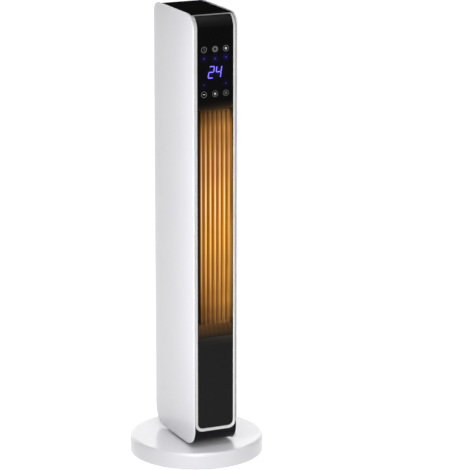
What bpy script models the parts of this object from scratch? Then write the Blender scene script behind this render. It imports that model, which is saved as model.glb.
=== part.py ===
"""Oscillating tower heater: a slim tower that turns on a round weighted base.

Metres, +Z up. The front faces -Y and the origin is on the floor under the pivot. Run it with
blender --background --python part.py, or from the text editor.
"""

import math

import bmesh
import bpy
from mathutils import Matrix, Vector

# Clearances and shared fasteners
GAP = 0.0003
OVERRUN = 0.002
FUSE = 0.0004
SCREW_SHANK_RADIUS = 0.0015
SCREW_HEAD_RADIUS = 0.003
SCREW_HEAD_HEIGHT = 0.0016
SCREW_LENGTH = 0.009
SCREW_SIDES = 8

# Base
BASE_DIAMETER = 0.240
BASE_HEIGHT = 0.030
BASE_WALL = 0.0025
BASE_RIM_RADIUS = 0.0058
BASE_FOOT_RADIUS = 0.0022
BASE_STEPS = 48
RING_STEPS = 36
ARC_STEPS = 3
PLINTH_RADIUS = 0.034
PLINTH_HEIGHT = 0.0012
HUB_RADIUS = 0.020
HUB_BORE_RADIUS = 0.012
BASE_PLATE_THICKNESS = 0.002
BASE_PLATE_SET_IN = 0.001
WEIGHT_OUTER_SHARE = 0.8
WEIGHT_INNER_RADIUS = 0.030
WEIGHT_THICKNESS = 0.006
BASE_BOSS_RADIUS = 0.0042
BOSS_TO_WEIGHT = 0.0072
BASE_BOSS_ANGLES = tuple(math.radians(angle) for angle in (30, 125, 215, 320))

# Feet
FOOT_COUNT = 5
FOOT_FIRST_ANGLE = math.radians(-76)
FOOT_RADIUS = 0.009
FOOT_PROUD = 0.002
FOOT_STEM_RADIUS = 0.003
FOOT_STEM_LENGTH = 0.003
FOOT_SIDES = 14

# Cord gland, in the wall of the base
GLAND_FLANGE_RADIUS = 0.0062
GLAND_SLEEVE_RADIUS = 0.0042
GLAND_BORE_RADIUS = 0.0032
GLAND_FLANGE_THICKNESS = 0.0016
GLAND_SLEEVE_LENGTH = 0.009
GLAND_SIDES = 16

# Tower and its side outline
TOWER_WIDTH = 0.088
TOWER_DEPTH = 0.172
TOWER_HEIGHT = 0.777
TOWER_LIFT = 0.004
TOP_FRONT_RADIUS = 0.0265
TOP_REAR_RADIUS = 0.0195
BOTTOM_REAR_RADIUS = 0.035
BOTTOM_FRONT_RADIUS = 0.030
CORNER_STEPS = 7

# Side panels
PANEL_EDGE = 0.0029
PANEL_CROWN = 0.0011
PANEL_WALL = 0.0018
PANEL_RIM = 0.004
PANEL_ROUND = 0.0013
PANEL_ROUND_STEPS = 2
RIM_FACE_LEAN = 0.3
PANEL_STATIONS_SHARES = (0.04, 0.09, 0.15, 0.22, 0.31, 0.42, 0.9, 0.95)
CROWN_FRONT_SHARE = 0.5
CROWN_REAR_SHARE = 0.86
CLIP_SIZE = 0.006
CLIP_REACH = 0.0022
CLIP_HEIGHT_SHARES = (0.14, 0.5, 0.86)
CLIP_DEPTH_SHARE = 0.34

# Skins on the core: trim, front panel, chin and top
TRIM_FACE_INSET = 0.0006
PANEL_FACE_INSET = 0.0014
TOP_FACE_INSET = 0.0018
CORE_INSET = 0.0036
TRIM_WIDTH = 0.0054
TRIM_TOP_WIDTH = 0.0026
TRIM_TOP_ANGLE = math.radians(20)
TRIM_LOW = 0.0269
TRIM_CORNER_RADIUS = 0.0145
TRIM_INNER_CORNER_RADIUS = 0.0100
TOP_TRAY_DEPTH = 0.0006
TOP_TRAY_EDGE = 0.0032
CHIN_REACH = 0.012

# Outlet
OUTLET_SIDE = 0.0115
OUTLET_LOW = 0.2004
OUTLET_BELOW_TOP = 0.1656
OUTLET_CORNER_RADIUS = 0.0018
SURROUND_WALL = 0.0019
SURROUND_DEPTH = 0.0225
SILL_RISE = 0.0195
SILL_RUN = 0.0085
HOOD_DROP = 0.004
SLAT_COUNT = 6
SLAT_WIDTH = 0.0034
SLAT_CHORD = 0.011
SLAT_RAIL = 0.0028
SLAT_SIDES = 10

# Core halves
HOUSING_WALL = 0.0022
SPLIT = 0.030
DISPLAY_CUT_WIDTH = 0.030
BULKHEAD_THICKNESS = 0.0025

# Intake grille, filter and hand recess
SLOT_ROWS = 24
SLOT_COLUMNS = 2
SLOT_HEIGHT = 0.0085
GRILLE_WIDTH = 0.058
GRILLE_POST = 0.004
GRILLE_LOW_SHARE = 0.03
GRILLE_HIGH_SHARE = 0.97
FILTER_THICKNESS = 0.003
FILTER_BORDER = 0.0035
FILTER_BAR = 0.0016
FILTER_ROWS = 10
FILTER_COLUMNS = 2
RECESS_WIDTH = 0.060
RECESS_DEPTH = 0.024
RECESS_WALL = 0.002
RECESS_LOW_SHARE = 0.473
RECESS_HIGH_SHARE = 0.2304

# Fan
ROTOR_RADIUS = 0.029
ROTOR_BEHIND_AXIS = 0.018
ROTOR_DISC_COUNT = 4
ROTOR_DISC_THICKNESS = 0.0016
ROTOR_END_GAP = 0.007
BLADE_COUNT = 16
BLADE_DEPTH = 0.0075
BLADE_THICKNESS = 0.0013
BLADE_SWEEP = math.radians(16)
ROTOR_HUB_RADIUS = 0.007
ROTOR_HUB_LENGTH = 0.010
ROTOR_PIN_RADIUS = 0.003
ROTOR_DISC_SIDES = 32
SHAFT_RADIUS = 0.003
BEARING_RADIUS = 0.0068
BEARING_LENGTH = 0.009
BEARING_HOUSING_WALL = 0.002
MOTOR_RADIUS = 0.026
MOTOR_HEIGHT = 0.046
MOTOR_BELL_RADIUS = 0.021
MOTOR_BELL_HEIGHT = 0.007
MOTOR_NOSE_RADIUS = 0.008
MOTOR_BORE_DEPTH = 0.034
MOTOR_SIDES = 24
SCROLL_THICKNESS = 0.0018
SCROLL_START_GAP = 0.0022
SCROLL_END_GAP = 0.0075
SCROLL_STEPS = 12
TONGUE_RADIUS = 0.0028

# Heater
HEATER_FRONT_GAP = 0.003
HEATER_DEPTH = 0.016
HEATER_BORDER = 0.005
HEATER_MIDDLE = 0.004
ELEMENT_DEPTH = 0.012
ELEMENT_CORE_WIDTH = 0.006
ELEMENT_FIN = 0.003
ELEMENT_FIN_COUNT = 20
CUTOUT_RADIUS = 0.006
CUTOUT_THICKNESS = 0.004

# Controls and electrics
BOARD_THICKNESS = 0.0016
CONTROL_BOARD_WIDTH = 0.064
CONTROL_BOARD_LOW_SHARE = 0.97
CONTROL_BOARD_HIGH_SHARE = 0.29
DISPLAY_CENTRE_SHARE = 0.6353
DISPLAY_CUT_SHARE = 0.1578
POWER_BOARD_LOW = 0.050
POWER_BOARD_LENGTH = 0.070
POWER_BOARD_HEIGHT = 0.066
POWER_BOARD_STAND_OFF = 0.004
POWER_BOARD_FRONT_GAP = 0.008
STAND_OFF_RADIUS = 0.003
RELAY_SIZE = (0.012, 0.019, 0.015)
CAPACITOR_RADIUS = 0.006
CAPACITOR_LENGTH = 0.016
TILT_BODY = (0.012, 0.018, 0.022)
SWITCH_ABOVE_FLOOR = 0.081
SWITCH_WIDTH = 0.015
SWITCH_HEIGHT = 0.021
SWITCH_LIP = 0.0013
SWITCH_LIP_THICKNESS = 0.0015
SWITCH_DEPTH = 0.014
SWITCH_WALL = 0.0014
ROCKER_DEPTH = 0.005
ROCKER_PROUD = 0.0014
ROCKER_TILT = math.radians(8)

# Swing drive
SWING_PLATE_THICKNESS = 0.0025
SWING_PLATE_FRONT_SHARE = 0.308
BUSH_WALL = 0.0025
BUSH_FLANGE = 0.003
BUSH_FLANGE_THICKNESS = 0.0016
GEAR_MODULE = 0.005 / 3
GEAR_TEETH = 30
PINION_TEETH = 12
GEAR_THICKNESS = 0.006
GEAR_BACKLASH = 0.0003
GEAR_SCREW_CIRCLE_SHARE = 0.8
PRESSURE_ANGLE = math.radians(20)
PINION_HUB_RADIUS = 0.005
PINION_HUB_LENGTH = 0.003
PINION_BORE_RADIUS = 0.0018
PINION_SIDES = 16
SWING_MOTOR_RADIUS = 0.023
SWING_MOTOR_HEIGHT = 0.019
SWING_MOTOR_OFFSET = 0.009
SWING_MOTOR_EAR = 0.031
SWING_EAR_WIDTH = 0.009
SWING_EAR_THICKNESS = 0.0018
SWING_POST_RADIUS = 0.0036

# Levels and planes that several pieces share
base_bottom = FOOT_PROUD
base_top = base_bottom + BASE_HEIGHT
base_radius = BASE_DIAMETER / 2
weight_outer = base_radius * WEIGHT_OUTER_SHARE
boss_circle = weight_outer + BOSS_TO_WEIGHT + BASE_BOSS_RADIUS
foot_circle = weight_outer + GAP
tower_bottom = base_top + TOWER_LIFT
tower_top = tower_bottom + TOWER_HEIGHT
tower_front = -TOWER_DEPTH / 2
tower_rear = TOWER_DEPTH / 2
core_half = TOWER_WIDTH / 2 - PANEL_CROWN - PANEL_EDGE - GAP
inside_half = core_half - HOUSING_WALL
core_front = tower_front + CORE_INSET
core_rear = tower_rear - CORE_INSET
core_bottom = tower_bottom + CORE_INSET
trim_inner_half = core_half - TRIM_WIDTH
trim_low = tower_bottom + TRIM_LOW
outlet_width = TOWER_WIDTH - 2 * OUTLET_SIDE
outlet_low = tower_bottom + OUTLET_LOW
outlet_high = tower_top - OUTLET_BELOW_TOP
surround_front = core_front
surround_back = surround_front + SURROUND_DEPTH
plinth_top = base_top + PLINTH_HEIGHT
plate_bottom = core_bottom + HOUSING_WALL + GAP
plate_top = plate_bottom + SWING_PLATE_THICKNESS
hub_top = plate_top + GAP + BUSH_FLANGE_THICKNESS + GAP
bush_outer = HUB_RADIUS + GAP + BUSH_WALL
gear_bottom = hub_top + GAP
gear_top = gear_bottom + GEAR_THICKNESS
pinion_y = -GEAR_MODULE * (GEAR_TEETH + PINION_TEETH) / 2
swing_motor_y = pinion_y - SWING_MOTOR_OFFSET
swing_plate_front = TOWER_DEPTH * SWING_PLATE_FRONT_SHARE
swing_motor_bottom = gear_top + PINION_HUB_LENGTH + GAP
lower_bulkhead_top = outlet_low - SURROUND_WALL - GAP
lower_bulkhead_bottom = lower_bulkhead_top - BULKHEAD_THICKNESS
upper_bulkhead_bottom = outlet_high + SURROUND_WALL + GAP
upper_bulkhead_top = upper_bulkhead_bottom + BULKHEAD_THICKNESS
control_space = tower_top - upper_bulkhead_top
display_middle = tower_top - control_space * DISPLAY_CENTRE_SHARE
display_height = control_space * DISPLAY_CUT_SHARE
rotor_y = ROTOR_BEHIND_AXIS
rotor_low = lower_bulkhead_top + ROTOR_END_GAP
rotor_high = upper_bulkhead_bottom - ROTOR_END_GAP
motor_top = lower_bulkhead_bottom - GAP
filter_rear = core_rear - HOUSING_WALL - GAP
filter_front = filter_rear - FILTER_THICKNESS
screw_boss_depth = SCREW_LENGTH + OVERRUN
screw_boss_side = 2 * (SCREW_SHANK_RADIUS + GAP + HOUSING_WALL)
rear_screw_x = inside_half - screw_boss_side
rear_screw_low = lower_bulkhead_bottom - screw_boss_side / 2
rear_screw_high = upper_bulkhead_top + screw_boss_side / 2
heater_front = surround_back + HEATER_FRONT_GAP
heater_half = inside_half - CLIP_REACH - GAP
heater_low = lower_bulkhead_top + GAP
heater_high = upper_bulkhead_bottom - GAP
recess_low = tower_top - control_space * RECESS_LOW_SHARE
recess_high = tower_top - control_space * RECESS_HIGH_SHARE
switch_z = SWITCH_ABOVE_FLOOR + tower_bottom

PALETTE = {
    "white": ((0.86, 0.86, 0.87), 0.22, 0.0),
    "black_gloss": ((0.012, 0.012, 0.013), 0.08, 0.0),
    "black_satin": ((0.02, 0.02, 0.021), 0.42, 0.0),
    "silver": ((0.72, 0.72, 0.73), 0.28, 0.6),
    "gold": ((0.85, 0.55, 0.24), 0.30, 0.7),
    "grey": ((0.30, 0.30, 0.31), 0.5, 0.0),
    "natural": ((0.82, 0.80, 0.74), 0.45, 0.0),
    "steel": ((0.55, 0.55, 0.56), 0.35, 1.0),
    "iron": ((0.10, 0.10, 0.11), 0.6, 0.9),
    "aluminium": ((0.78, 0.78, 0.79), 0.35, 1.0),
    "copper_board": ((0.03, 0.16, 0.07), 0.4, 0.0),
    "brown": ((0.20, 0.12, 0.06), 0.5, 0.0),
    "rubber": ((0.03, 0.03, 0.03), 0.85, 0.0),
    "lens": ((0.05, 0.03, 0.14), 0.15, 0.0),
}


def clear_scene():
    for item in list(bpy.data.objects):
        bpy.data.objects.remove(item, do_unlink=True)


def collection(name):
    made = bpy.data.collections.new(name)
    bpy.context.scene.collection.children.link(made)
    return made


clear_scene()
heater = collection("tower_heater")
cutters = collection("cutters")


def finish(item, look):
    """Gives the object a material of its own."""
    colour, roughness, metallic = PALETTE[look]
    made = bpy.data.materials.new(item.name + "_finish")
    made.use_nodes = True
    shader = made.node_tree.nodes["Principled BSDF"]
    shader.inputs["Base Color"].default_value = (*colour, 1)
    shader.inputs["Roughness"].default_value = roughness
    shader.inputs["Metallic"].default_value = metallic
    item.data.materials.append(made)


def add(name, mesh, look=None):
    """Links a mesh as a piece, or as a hidden helper where it has no look."""
    item = bpy.data.objects.new(name, mesh)
    if look:
        heater.objects.link(item)
        finish(item, look)
        mesh.shade_smooth()
        mesh.set_sharp_from_angle(angle=math.radians(30))
        return item
    cutters.objects.link(item)
    item.hide_render = True
    item.display_type = "WIRE"
    return item


def to_mesh(name, form):
    bmesh.ops.recalc_face_normals(form, faces=form.faces)
    mesh = bpy.data.meshes.new(name)
    form.to_mesh(mesh)
    form.free()
    return mesh


def boolean(item, helper, operation):
    change = item.modifiers.new(operation.lower() + "_" + helper.name, "BOOLEAN")
    change.object = helper
    change.operation = operation
    change.solver = "EXACT"


def cut(item, *helpers):
    for helper in helpers:
        boolean(item, helper, "DIFFERENCE")


def join(item, *helpers):
    for helper in helpers:
        boolean(item, helper, "UNION")


def keep(item, *helpers):
    for helper in helpers:
        boolean(item, helper, "INTERSECT")


AXES = {
    "X": lambda u, v, w: (w, u, v),
    "Y": lambda u, v, w: (u, w, v),
    "Z": lambda u, v, w: (u, v, w),
}


def grow_prism(form, outline, axis, low, high):
    """Adds to the mesh a flat outline drawn out along an axis."""
    place = AXES[axis]
    face = form.faces.new([form.verts.new(place(u, v, low)) for u, v in outline])
    grown = bmesh.ops.extrude_face_region(form, geom=[face])
    moved = [part for part in grown["geom"] if isinstance(part, bmesh.types.BMVert)]
    bmesh.ops.translate(form, verts=moved, vec=Vector(place(0, 0, high - low)))


def prism(name, outline, axis, low, high, look=None):
    form = bmesh.new()
    grow_prism(form, outline, axis, low, high)
    return add(name, to_mesh(name, form), look)


def prisms(name, outlines, axis, low, high, look=None):
    """Several outlines drawn out together as one object."""
    form = bmesh.new()
    for outline in outlines:
        grow_prism(form, outline, axis, low, high)
    return add(name, to_mesh(name, form), look)


def grow_box(form, xs, ys, zs):
    size = Vector((xs[1] - xs[0], ys[1] - ys[0], zs[1] - zs[0]))
    centre = Vector(((xs[0] + xs[1]) / 2, (ys[0] + ys[1]) / 2, (zs[0] + zs[1]) / 2))
    matrix = Matrix.Translation(centre) @ Matrix.Diagonal((*size, 1))
    bmesh.ops.create_cube(form, size=1, matrix=matrix)


def box(name, xs, ys, zs, look=None):
    form = bmesh.new()
    grow_box(form, xs, ys, zs)
    return add(name, to_mesh(name, form), look)


def grow_rod(form, radius, centre, low, high, sides, turn=None):
    """Adds a cylinder along Z through centre, or along the axis that turn brings Z to."""
    middle = Vector((*centre, (low + high) / 2))
    matrix = (turn or Matrix()) @ Matrix.Translation(middle)
    bmesh.ops.create_cone(
        form,
        cap_ends=True,
        segments=sides,
        radius1=radius,
        radius2=radius,
        depth=high - low,
        matrix=matrix,
    )


def rods(name, places, low, high, sides, look=None, turn=None):
    """Cylinders of (radius, (x, y)) as one object."""
    form = bmesh.new()
    for radius, centre in places:
        grow_rod(form, radius, centre, low, high, sides, turn)
    return add(name, to_mesh(name, form), look)


def turned(name, profile, place, steps, look=None, turn=None):
    """Turns a closed (radius, height) profile, listed down its outer side, about Z."""
    form = bmesh.new()
    points = [form.verts.new((radius, 0, height)) for radius, height in profile]
    for first, second in zip(points, points[1:] + points[:1]):
        if first.co.x > 0 or second.co.x > 0:
            form.edges.new((first, second))
    mesh = bpy.data.meshes.new(name)
    form.to_mesh(mesh)
    form.free()
    item = add(name, mesh, look)
    spin = item.modifiers.new("turn", "SCREW")
    spin.axis = "Z"
    spin.steps = steps
    spin.render_steps = steps
    spin.use_merge_vertices = True
    spin.merge_threshold = 0.00001
    item.location = place
    if turn:
        item.rotation_euler = turn
    return item


def arc(centre, radius, start, end, steps):
    """Points along an arc, with the angles in radians."""
    angles = [start + (end - start) * step / steps for step in range(steps + 1)]
    return [
        (centre[0] + radius * math.cos(angle), centre[1] + radius * math.sin(angle))
        for angle in angles
    ]


def rounded(width_range, height_range, radii, steps=ARC_STEPS):
    """Rectangle with corner radii given for lower left, lower right, upper right, upper left."""
    (left, right), (low, high) = width_range, height_range
    quarter = math.pi / 2
    corners = ((left, low, 1, 1), (right, low, -1, 1), (right, high, -1, -1), (left, high, 1, -1))
    outline = []
    for turn, ((x, y, to_x, to_y), radius) in enumerate(zip(corners, radii)):
        centre = (x + to_x * radius, y + to_y * radius)
        start = (turn + 2) * quarter
        outline += arc(centre, radius, start, start + quarter, steps) if radius else [(x, y)]
    return outline


def side_outline(inset=0.0):
    """The tower seen from its side, as (y, z) points, drawn in by inset."""
    radii = [
        radius - inset
        for radius in (BOTTOM_FRONT_RADIUS, BOTTOM_REAR_RADIUS, TOP_REAR_RADIUS, TOP_FRONT_RADIUS)
    ]
    ys = (tower_front + inset, tower_rear - inset)
    zs = (tower_bottom + inset, tower_top - inset)
    return rounded(ys, zs, radii, CORNER_STEPS)


def polar(radius, angle, centre=(0.0, 0.0)):
    return centre[0] + radius * math.cos(angle), centre[1] + radius * math.sin(angle)


# Base


def make_base_cover():
    """Disc shell with a plinth for the thrust washer and a hollow hub that the tower turns on."""
    quarter = math.pi / 2
    rim = (base_radius - BASE_RIM_RADIUS, base_top - BASE_RIM_RADIUS)
    inner = base_radius - BASE_WALL
    ceiling = base_top - BASE_WALL
    profile = [(HUB_BORE_RADIUS, hub_top), (HUB_RADIUS, hub_top)]
    profile += [(HUB_RADIUS, plinth_top), (PLINTH_RADIUS, plinth_top), (PLINTH_RADIUS, base_top)]
    profile += arc(rim, BASE_RIM_RADIUS, quarter, 0, ARC_STEPS)
    foot = (base_radius - BASE_FOOT_RADIUS, base_bottom + BASE_FOOT_RADIUS)
    profile += arc(foot, BASE_FOOT_RADIUS, 0, -quarter, ARC_STEPS // 2)
    profile += [(inner, base_bottom), (inner, rim[1])]
    profile += arc(rim, BASE_RIM_RADIUS - BASE_WALL, 0, quarter, ARC_STEPS // 2)[1:]
    profile += [(HUB_BORE_RADIUS, ceiling)]
    cover = turned("base_cover", profile, (0, 0, 0), BASE_STEPS, "white")
    floor = base_bottom + BASE_PLATE_SET_IN + BASE_PLATE_THICKNESS + GAP
    spots = [polar(boss_circle, angle) for angle in BASE_BOSS_ANGLES]
    bosses = [(BASE_BOSS_RADIUS, spot) for spot in spots]
    bores = [(SCREW_SHANK_RADIUS + GAP, spot) for spot in spots]
    join(cover, rods("base_bosses", bosses, floor, ceiling + FUSE, SCREW_SIDES))
    cut(cover, rods("base_boss_bores", bores, floor - OVERRUN, floor + SCREW_LENGTH, SCREW_SIDES))
    circle = HUB_RADIUS * GEAR_SCREW_CIRCLE_SHARE
    spots = [polar(circle, 2 * math.pi * turn / 3) for turn in range(3)]
    bores = [(SCREW_SHANK_RADIUS + GAP, spot) for spot in spots]
    depth = SCREW_LENGTH - GEAR_THICKNESS + OVERRUN
    cut(cover, rods("hub_bores", bores, hub_top - depth, hub_top + OVERRUN, SCREW_SIDES))
    to_rear = Matrix.Rotation(-quarter, 4, "X")
    middle = gland_height()
    hole = [(GLAND_SLEEVE_RADIUS + GAP, (0, -middle))]
    ends = (base_radius - BASE_WALL - OVERRUN, base_radius + OVERRUN)
    cut(cover, rods("gland_hole", hole, *ends, GLAND_SIDES, turn=to_rear))
    return cover


def gland_height():
    return base_bottom + BASE_HEIGHT / 2


def make_base_plate():
    low = base_bottom + BASE_PLATE_SET_IN
    high = low + BASE_PLATE_THICKNESS
    outer = base_radius - BASE_WALL - GAP
    profile = [(0, high), (outer, high), (outer, low), (0, low)]
    plate = turned("base_plate", profile, (0, 0, 0), BASE_STEPS, "black_satin")
    holes = [(SCREW_SHANK_RADIUS + GAP, polar(boss_circle, angle)) for angle in BASE_BOSS_ANGLES]
    holes += [(FOOT_STEM_RADIUS + GAP, spot) for spot in foot_spots()]
    cut(plate, rods("base_plate_holes", holes, low - OVERRUN, high + OVERRUN, SCREW_SIDES))
    return plate


def make_base_weight():
    """Cast ring that keeps the slim tower from tipping."""
    low = base_bottom + BASE_PLATE_SET_IN + BASE_PLATE_THICKNESS + GAP
    high = low + WEIGHT_THICKNESS
    chamfer = WEIGHT_THICKNESS / 5
    profile = [
        (WEIGHT_INNER_RADIUS, high),
        (weight_outer - chamfer, high),
        (weight_outer, high - chamfer),
        (weight_outer, low),
        (WEIGHT_INNER_RADIUS, low),
    ]
    weight = turned("base_weight", profile, (0, 0, 0), BASE_STEPS, "iron")
    holes = [(FOOT_STEM_RADIUS + 2 * GAP, spot) for spot in foot_spots()]
    cut(weight, rods("base_weight_holes", holes, low - OVERRUN, high + OVERRUN, SCREW_SIDES))
    return weight


def foot_spots():
    step = 2 * math.pi / FOOT_COUNT
    return [polar(foot_circle, FOOT_FIRST_ANGLE + step * turn) for turn in range(FOOT_COUNT)]


def make_feet():
    """Rubber pads with a stem that passes through the bottom plate."""
    pad_top = base_bottom + BASE_PLATE_SET_IN - GAP
    stem_top = pad_top + FOOT_STEM_LENGTH + BASE_PLATE_THICKNESS
    flare = FOOT_RADIUS / 12
    profile = [
        (0, stem_top),
        (FOOT_STEM_RADIUS, stem_top),
        (FOOT_STEM_RADIUS, pad_top),
        (FOOT_RADIUS, pad_top),
        (FOOT_RADIUS - flare, 0),
        (0, 0),
    ]
    for number, spot in enumerate(foot_spots(), 1):
        turned(f"rubber_foot_{number}", profile, (*spot, 0), FOOT_SIDES, "rubber")


def screw(name, head_seat, place, direction, length, look="steel"):
    """Pan-head screw. Its shank runs along direction from the seat of its head."""
    profile = [
        (0, length),
        (SCREW_SHANK_RADIUS, length),
        (SCREW_SHANK_RADIUS, 0),
        (SCREW_HEAD_RADIUS, 0),
        (SCREW_HEAD_RADIUS * 0.7, -SCREW_HEAD_HEIGHT),
        (0, -SCREW_HEAD_HEIGHT),
    ]
    turn = Vector(direction).to_track_quat("Z", "Y").to_euler()
    seat = Vector(place) + Vector(direction) * head_seat
    return turned(name, profile, seat, SCREW_SIDES, look, turn)


def make_base_screws():
    seat = base_bottom + BASE_PLATE_SET_IN - GAP
    length = BASE_PLATE_THICKNESS + SCREW_LENGTH
    for number, angle in enumerate(BASE_BOSS_ANGLES, 1):
        place = (*polar(boss_circle, angle), 0)
        screw(f"base_screw_{number}", seat, place, (0, 0, 1), length)


def make_cord_gland():
    """Grommet in the rear of the base, where the supply lead enters. Its flange is inside."""
    outside = base_radius - GAP
    shoulder = base_radius - BASE_WALL - 2 * GAP
    inside = outside - GLAND_SLEEVE_LENGTH
    profile = [
        (GLAND_BORE_RADIUS, outside),
        (GLAND_SLEEVE_RADIUS, outside),
        (GLAND_SLEEVE_RADIUS, shoulder),
        (GLAND_FLANGE_RADIUS, shoulder),
        (GLAND_FLANGE_RADIUS, shoulder - GLAND_FLANGE_THICKNESS),
        (GLAND_SLEEVE_RADIUS, inside),
        (GLAND_BORE_RADIUS, inside),
    ]
    place = (0, 0, gland_height())
    return turned("cord_gland", profile, place, GLAND_SIDES, "rubber", (-math.pi / 2, 0, 0))


# Pivot and swing drive


def make_thrust_washer():
    low, high = plinth_top + GAP, core_bottom - GAP
    inner = HUB_RADIUS + GAP
    outer = PLINTH_RADIUS - GAP
    profile = [(inner, high), (outer, high), (outer, low), (inner, low)]
    return turned("thrust_washer", profile, (0, 0, 0), RING_STEPS, "natural")


def make_pivot_bush():
    """Flanged sleeve between the hub and the tower's floor."""
    inner = HUB_RADIUS + GAP
    top = plate_top + GAP + BUSH_FLANGE_THICKNESS
    profile = [
        (inner, top),
        (bush_outer + BUSH_FLANGE, top),
        (bush_outer + BUSH_FLANGE, plate_top + GAP),
        (bush_outer, plate_top + GAP),
        (bush_outer, core_bottom),
        (inner, core_bottom),
    ]
    return turned("pivot_bush", profile, (0, 0, 0), RING_STEPS, "natural")


def make_swing_plate():
    """Steel floor plate of the tower, with two posts for the swing motor."""
    half = inside_half - GAP
    outline = rounded((-half, half), (-swing_plate_front, SPLIT - GAP), [CLIP_SIZE] * 4)
    plate = prism("swing_plate", outline, "Z", plate_bottom, plate_top, "steel")
    hole = [(bush_outer + GAP, (0, 0))]
    ends = (plate_bottom - OVERRUN, plate_top + OVERRUN)
    cut(plate, rods("swing_plate_hole", hole, *ends, RING_STEPS))
    posts = [(SWING_POST_RADIUS, (side * SWING_MOTOR_EAR, swing_motor_y)) for side in (-1, 1)]
    top = swing_motor_bottom - GAP
    join(plate, rods("swing_posts", posts, plate_top - FUSE, top, SCREW_SIDES))
    return plate


def gear_outline(teeth, phase, centre=(0.0, 0.0)):
    """Involute teeth, each as root, pitch and tip points on both flanks."""
    pitch = GEAR_MODULE * teeth / 2
    base = pitch * math.cos(PRESSURE_ANGLE)
    tip = pitch + 0.9 * GEAR_MODULE
    root = pitch - 1.25 * GEAR_MODULE
    half = math.pi / (2 * teeth) - GEAR_BACKLASH / (2 * pitch)

    def involute(radius):
        angle = math.acos(min(1, base / radius))
        return math.tan(angle) - angle

    flank = [root, pitch, tip]
    outline = []
    for tooth in range(teeth):
        middle = phase + 2 * math.pi * tooth / teeth
        spread = [half + involute(pitch) - involute(radius) for radius in flank]
        outline += [polar(r, middle - s, centre) for r, s in zip(flank, spread)]
        outline += [polar(r, middle + s, centre) for r, s in zip(flank[::-1], spread[::-1])]
    return outline


def make_swing_gear():
    """Gear that is screwed to the hub and holds the tower down."""
    outline = gear_outline(GEAR_TEETH, -math.pi / 2)
    gear = prism("swing_gear", outline, "Z", gear_bottom, gear_top, "natural")
    ends = (gear_bottom - OVERRUN, gear_top + OVERRUN)
    circle = HUB_RADIUS * GEAR_SCREW_CIRCLE_SHARE
    spots = [polar(circle, 2 * math.pi * turn / 3) for turn in range(3)]
    cut(gear, rods("gear_bore", [(HUB_BORE_RADIUS, (0, 0))], *ends, RING_STEPS // 2))
    bores = [(SCREW_SHANK_RADIUS + GAP, spot) for spot in spots]
    cut(gear, rods("gear_screw_bores", bores, *ends, SCREW_SIDES))
    for number, spot in enumerate(spots, 1):
        place = (*spot, 0)
        screw(f"gear_screw_{number}", -(gear_top + GAP), place, (0, 0, -1), SCREW_LENGTH)
    return gear


def make_swing_pinion():
    """Pinion on the swing motor's shaft, in mesh with the fixed gear."""
    centre = (0, pinion_y)
    phase = math.pi / 2 + math.pi / PINION_TEETH
    outline = gear_outline(PINION_TEETH, phase, centre)
    pinion = prism("swing_pinion", outline, "Z", gear_bottom, gear_top, "natural")
    hub = [(PINION_HUB_RADIUS, centre)]
    top = swing_motor_bottom - GAP
    join(pinion, rods("pinion_hub", hub, gear_top - FUSE, top, PINION_SIDES))
    bore = [(PINION_BORE_RADIUS + GAP, centre)]
    ends = (gear_bottom + PINION_HUB_LENGTH, top + OVERRUN)
    cut(pinion, rods("pinion_bore", bore, *ends, PINION_SIDES))
    return pinion


def make_swing_motor():
    """Flat synchronous motor, held by two ears, with its shaft off centre."""
    low = swing_motor_bottom
    high = low + SWING_MOTOR_HEIGHT
    centre = (0, swing_motor_y)
    rim = SWING_MOTOR_HEIGHT / 12
    profile = [
        (0, high),
        (SWING_MOTOR_RADIUS - rim, high),
        (SWING_MOTOR_RADIUS, high - rim),
        (SWING_MOTOR_RADIUS, low),
        (0, low),
    ]
    motor = turned("swing_motor", profile, (*centre, 0), MOTOR_SIDES, "steel")
    reach = SWING_MOTOR_EAR + SWING_EAR_WIDTH / 2
    half = SWING_EAR_WIDTH / 2
    outline = rounded((-reach, reach), (swing_motor_y - half, swing_motor_y + half), [half / 2] * 4)
    join(motor, prism("swing_ears", outline, "Z", low, low + SWING_EAR_THICKNESS))
    holes = [(SCREW_SHANK_RADIUS, (side * SWING_MOTOR_EAR, swing_motor_y)) for side in (-1, 1)]
    ends = (low - OVERRUN, low + SWING_EAR_THICKNESS + OVERRUN)
    cut(motor, rods("swing_ear_holes", holes, *ends, SCREW_SIDES))
    shaft = [(PINION_BORE_RADIUS, (0, pinion_y))]
    ends = (gear_bottom + PINION_HUB_LENGTH + GAP, low + FUSE)
    join(motor, rods("swing_motor_shaft", shaft, *ends, PINION_SIDES))
    return motor


# Tower shells


def crown_drop(depth_share):
    """How far the side panel's face falls away, from front (0) to rear (1)."""
    if depth_share < CROWN_FRONT_SHARE:
        return PANEL_CROWN * (1 - depth_share / CROWN_FRONT_SHARE) ** 2
    if depth_share > CROWN_REAR_SHARE:
        over = (depth_share - CROWN_REAR_SHARE) / (1 - CROWN_REAR_SHARE)
        return PANEL_CROWN * over**2
    return 0.0


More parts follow.
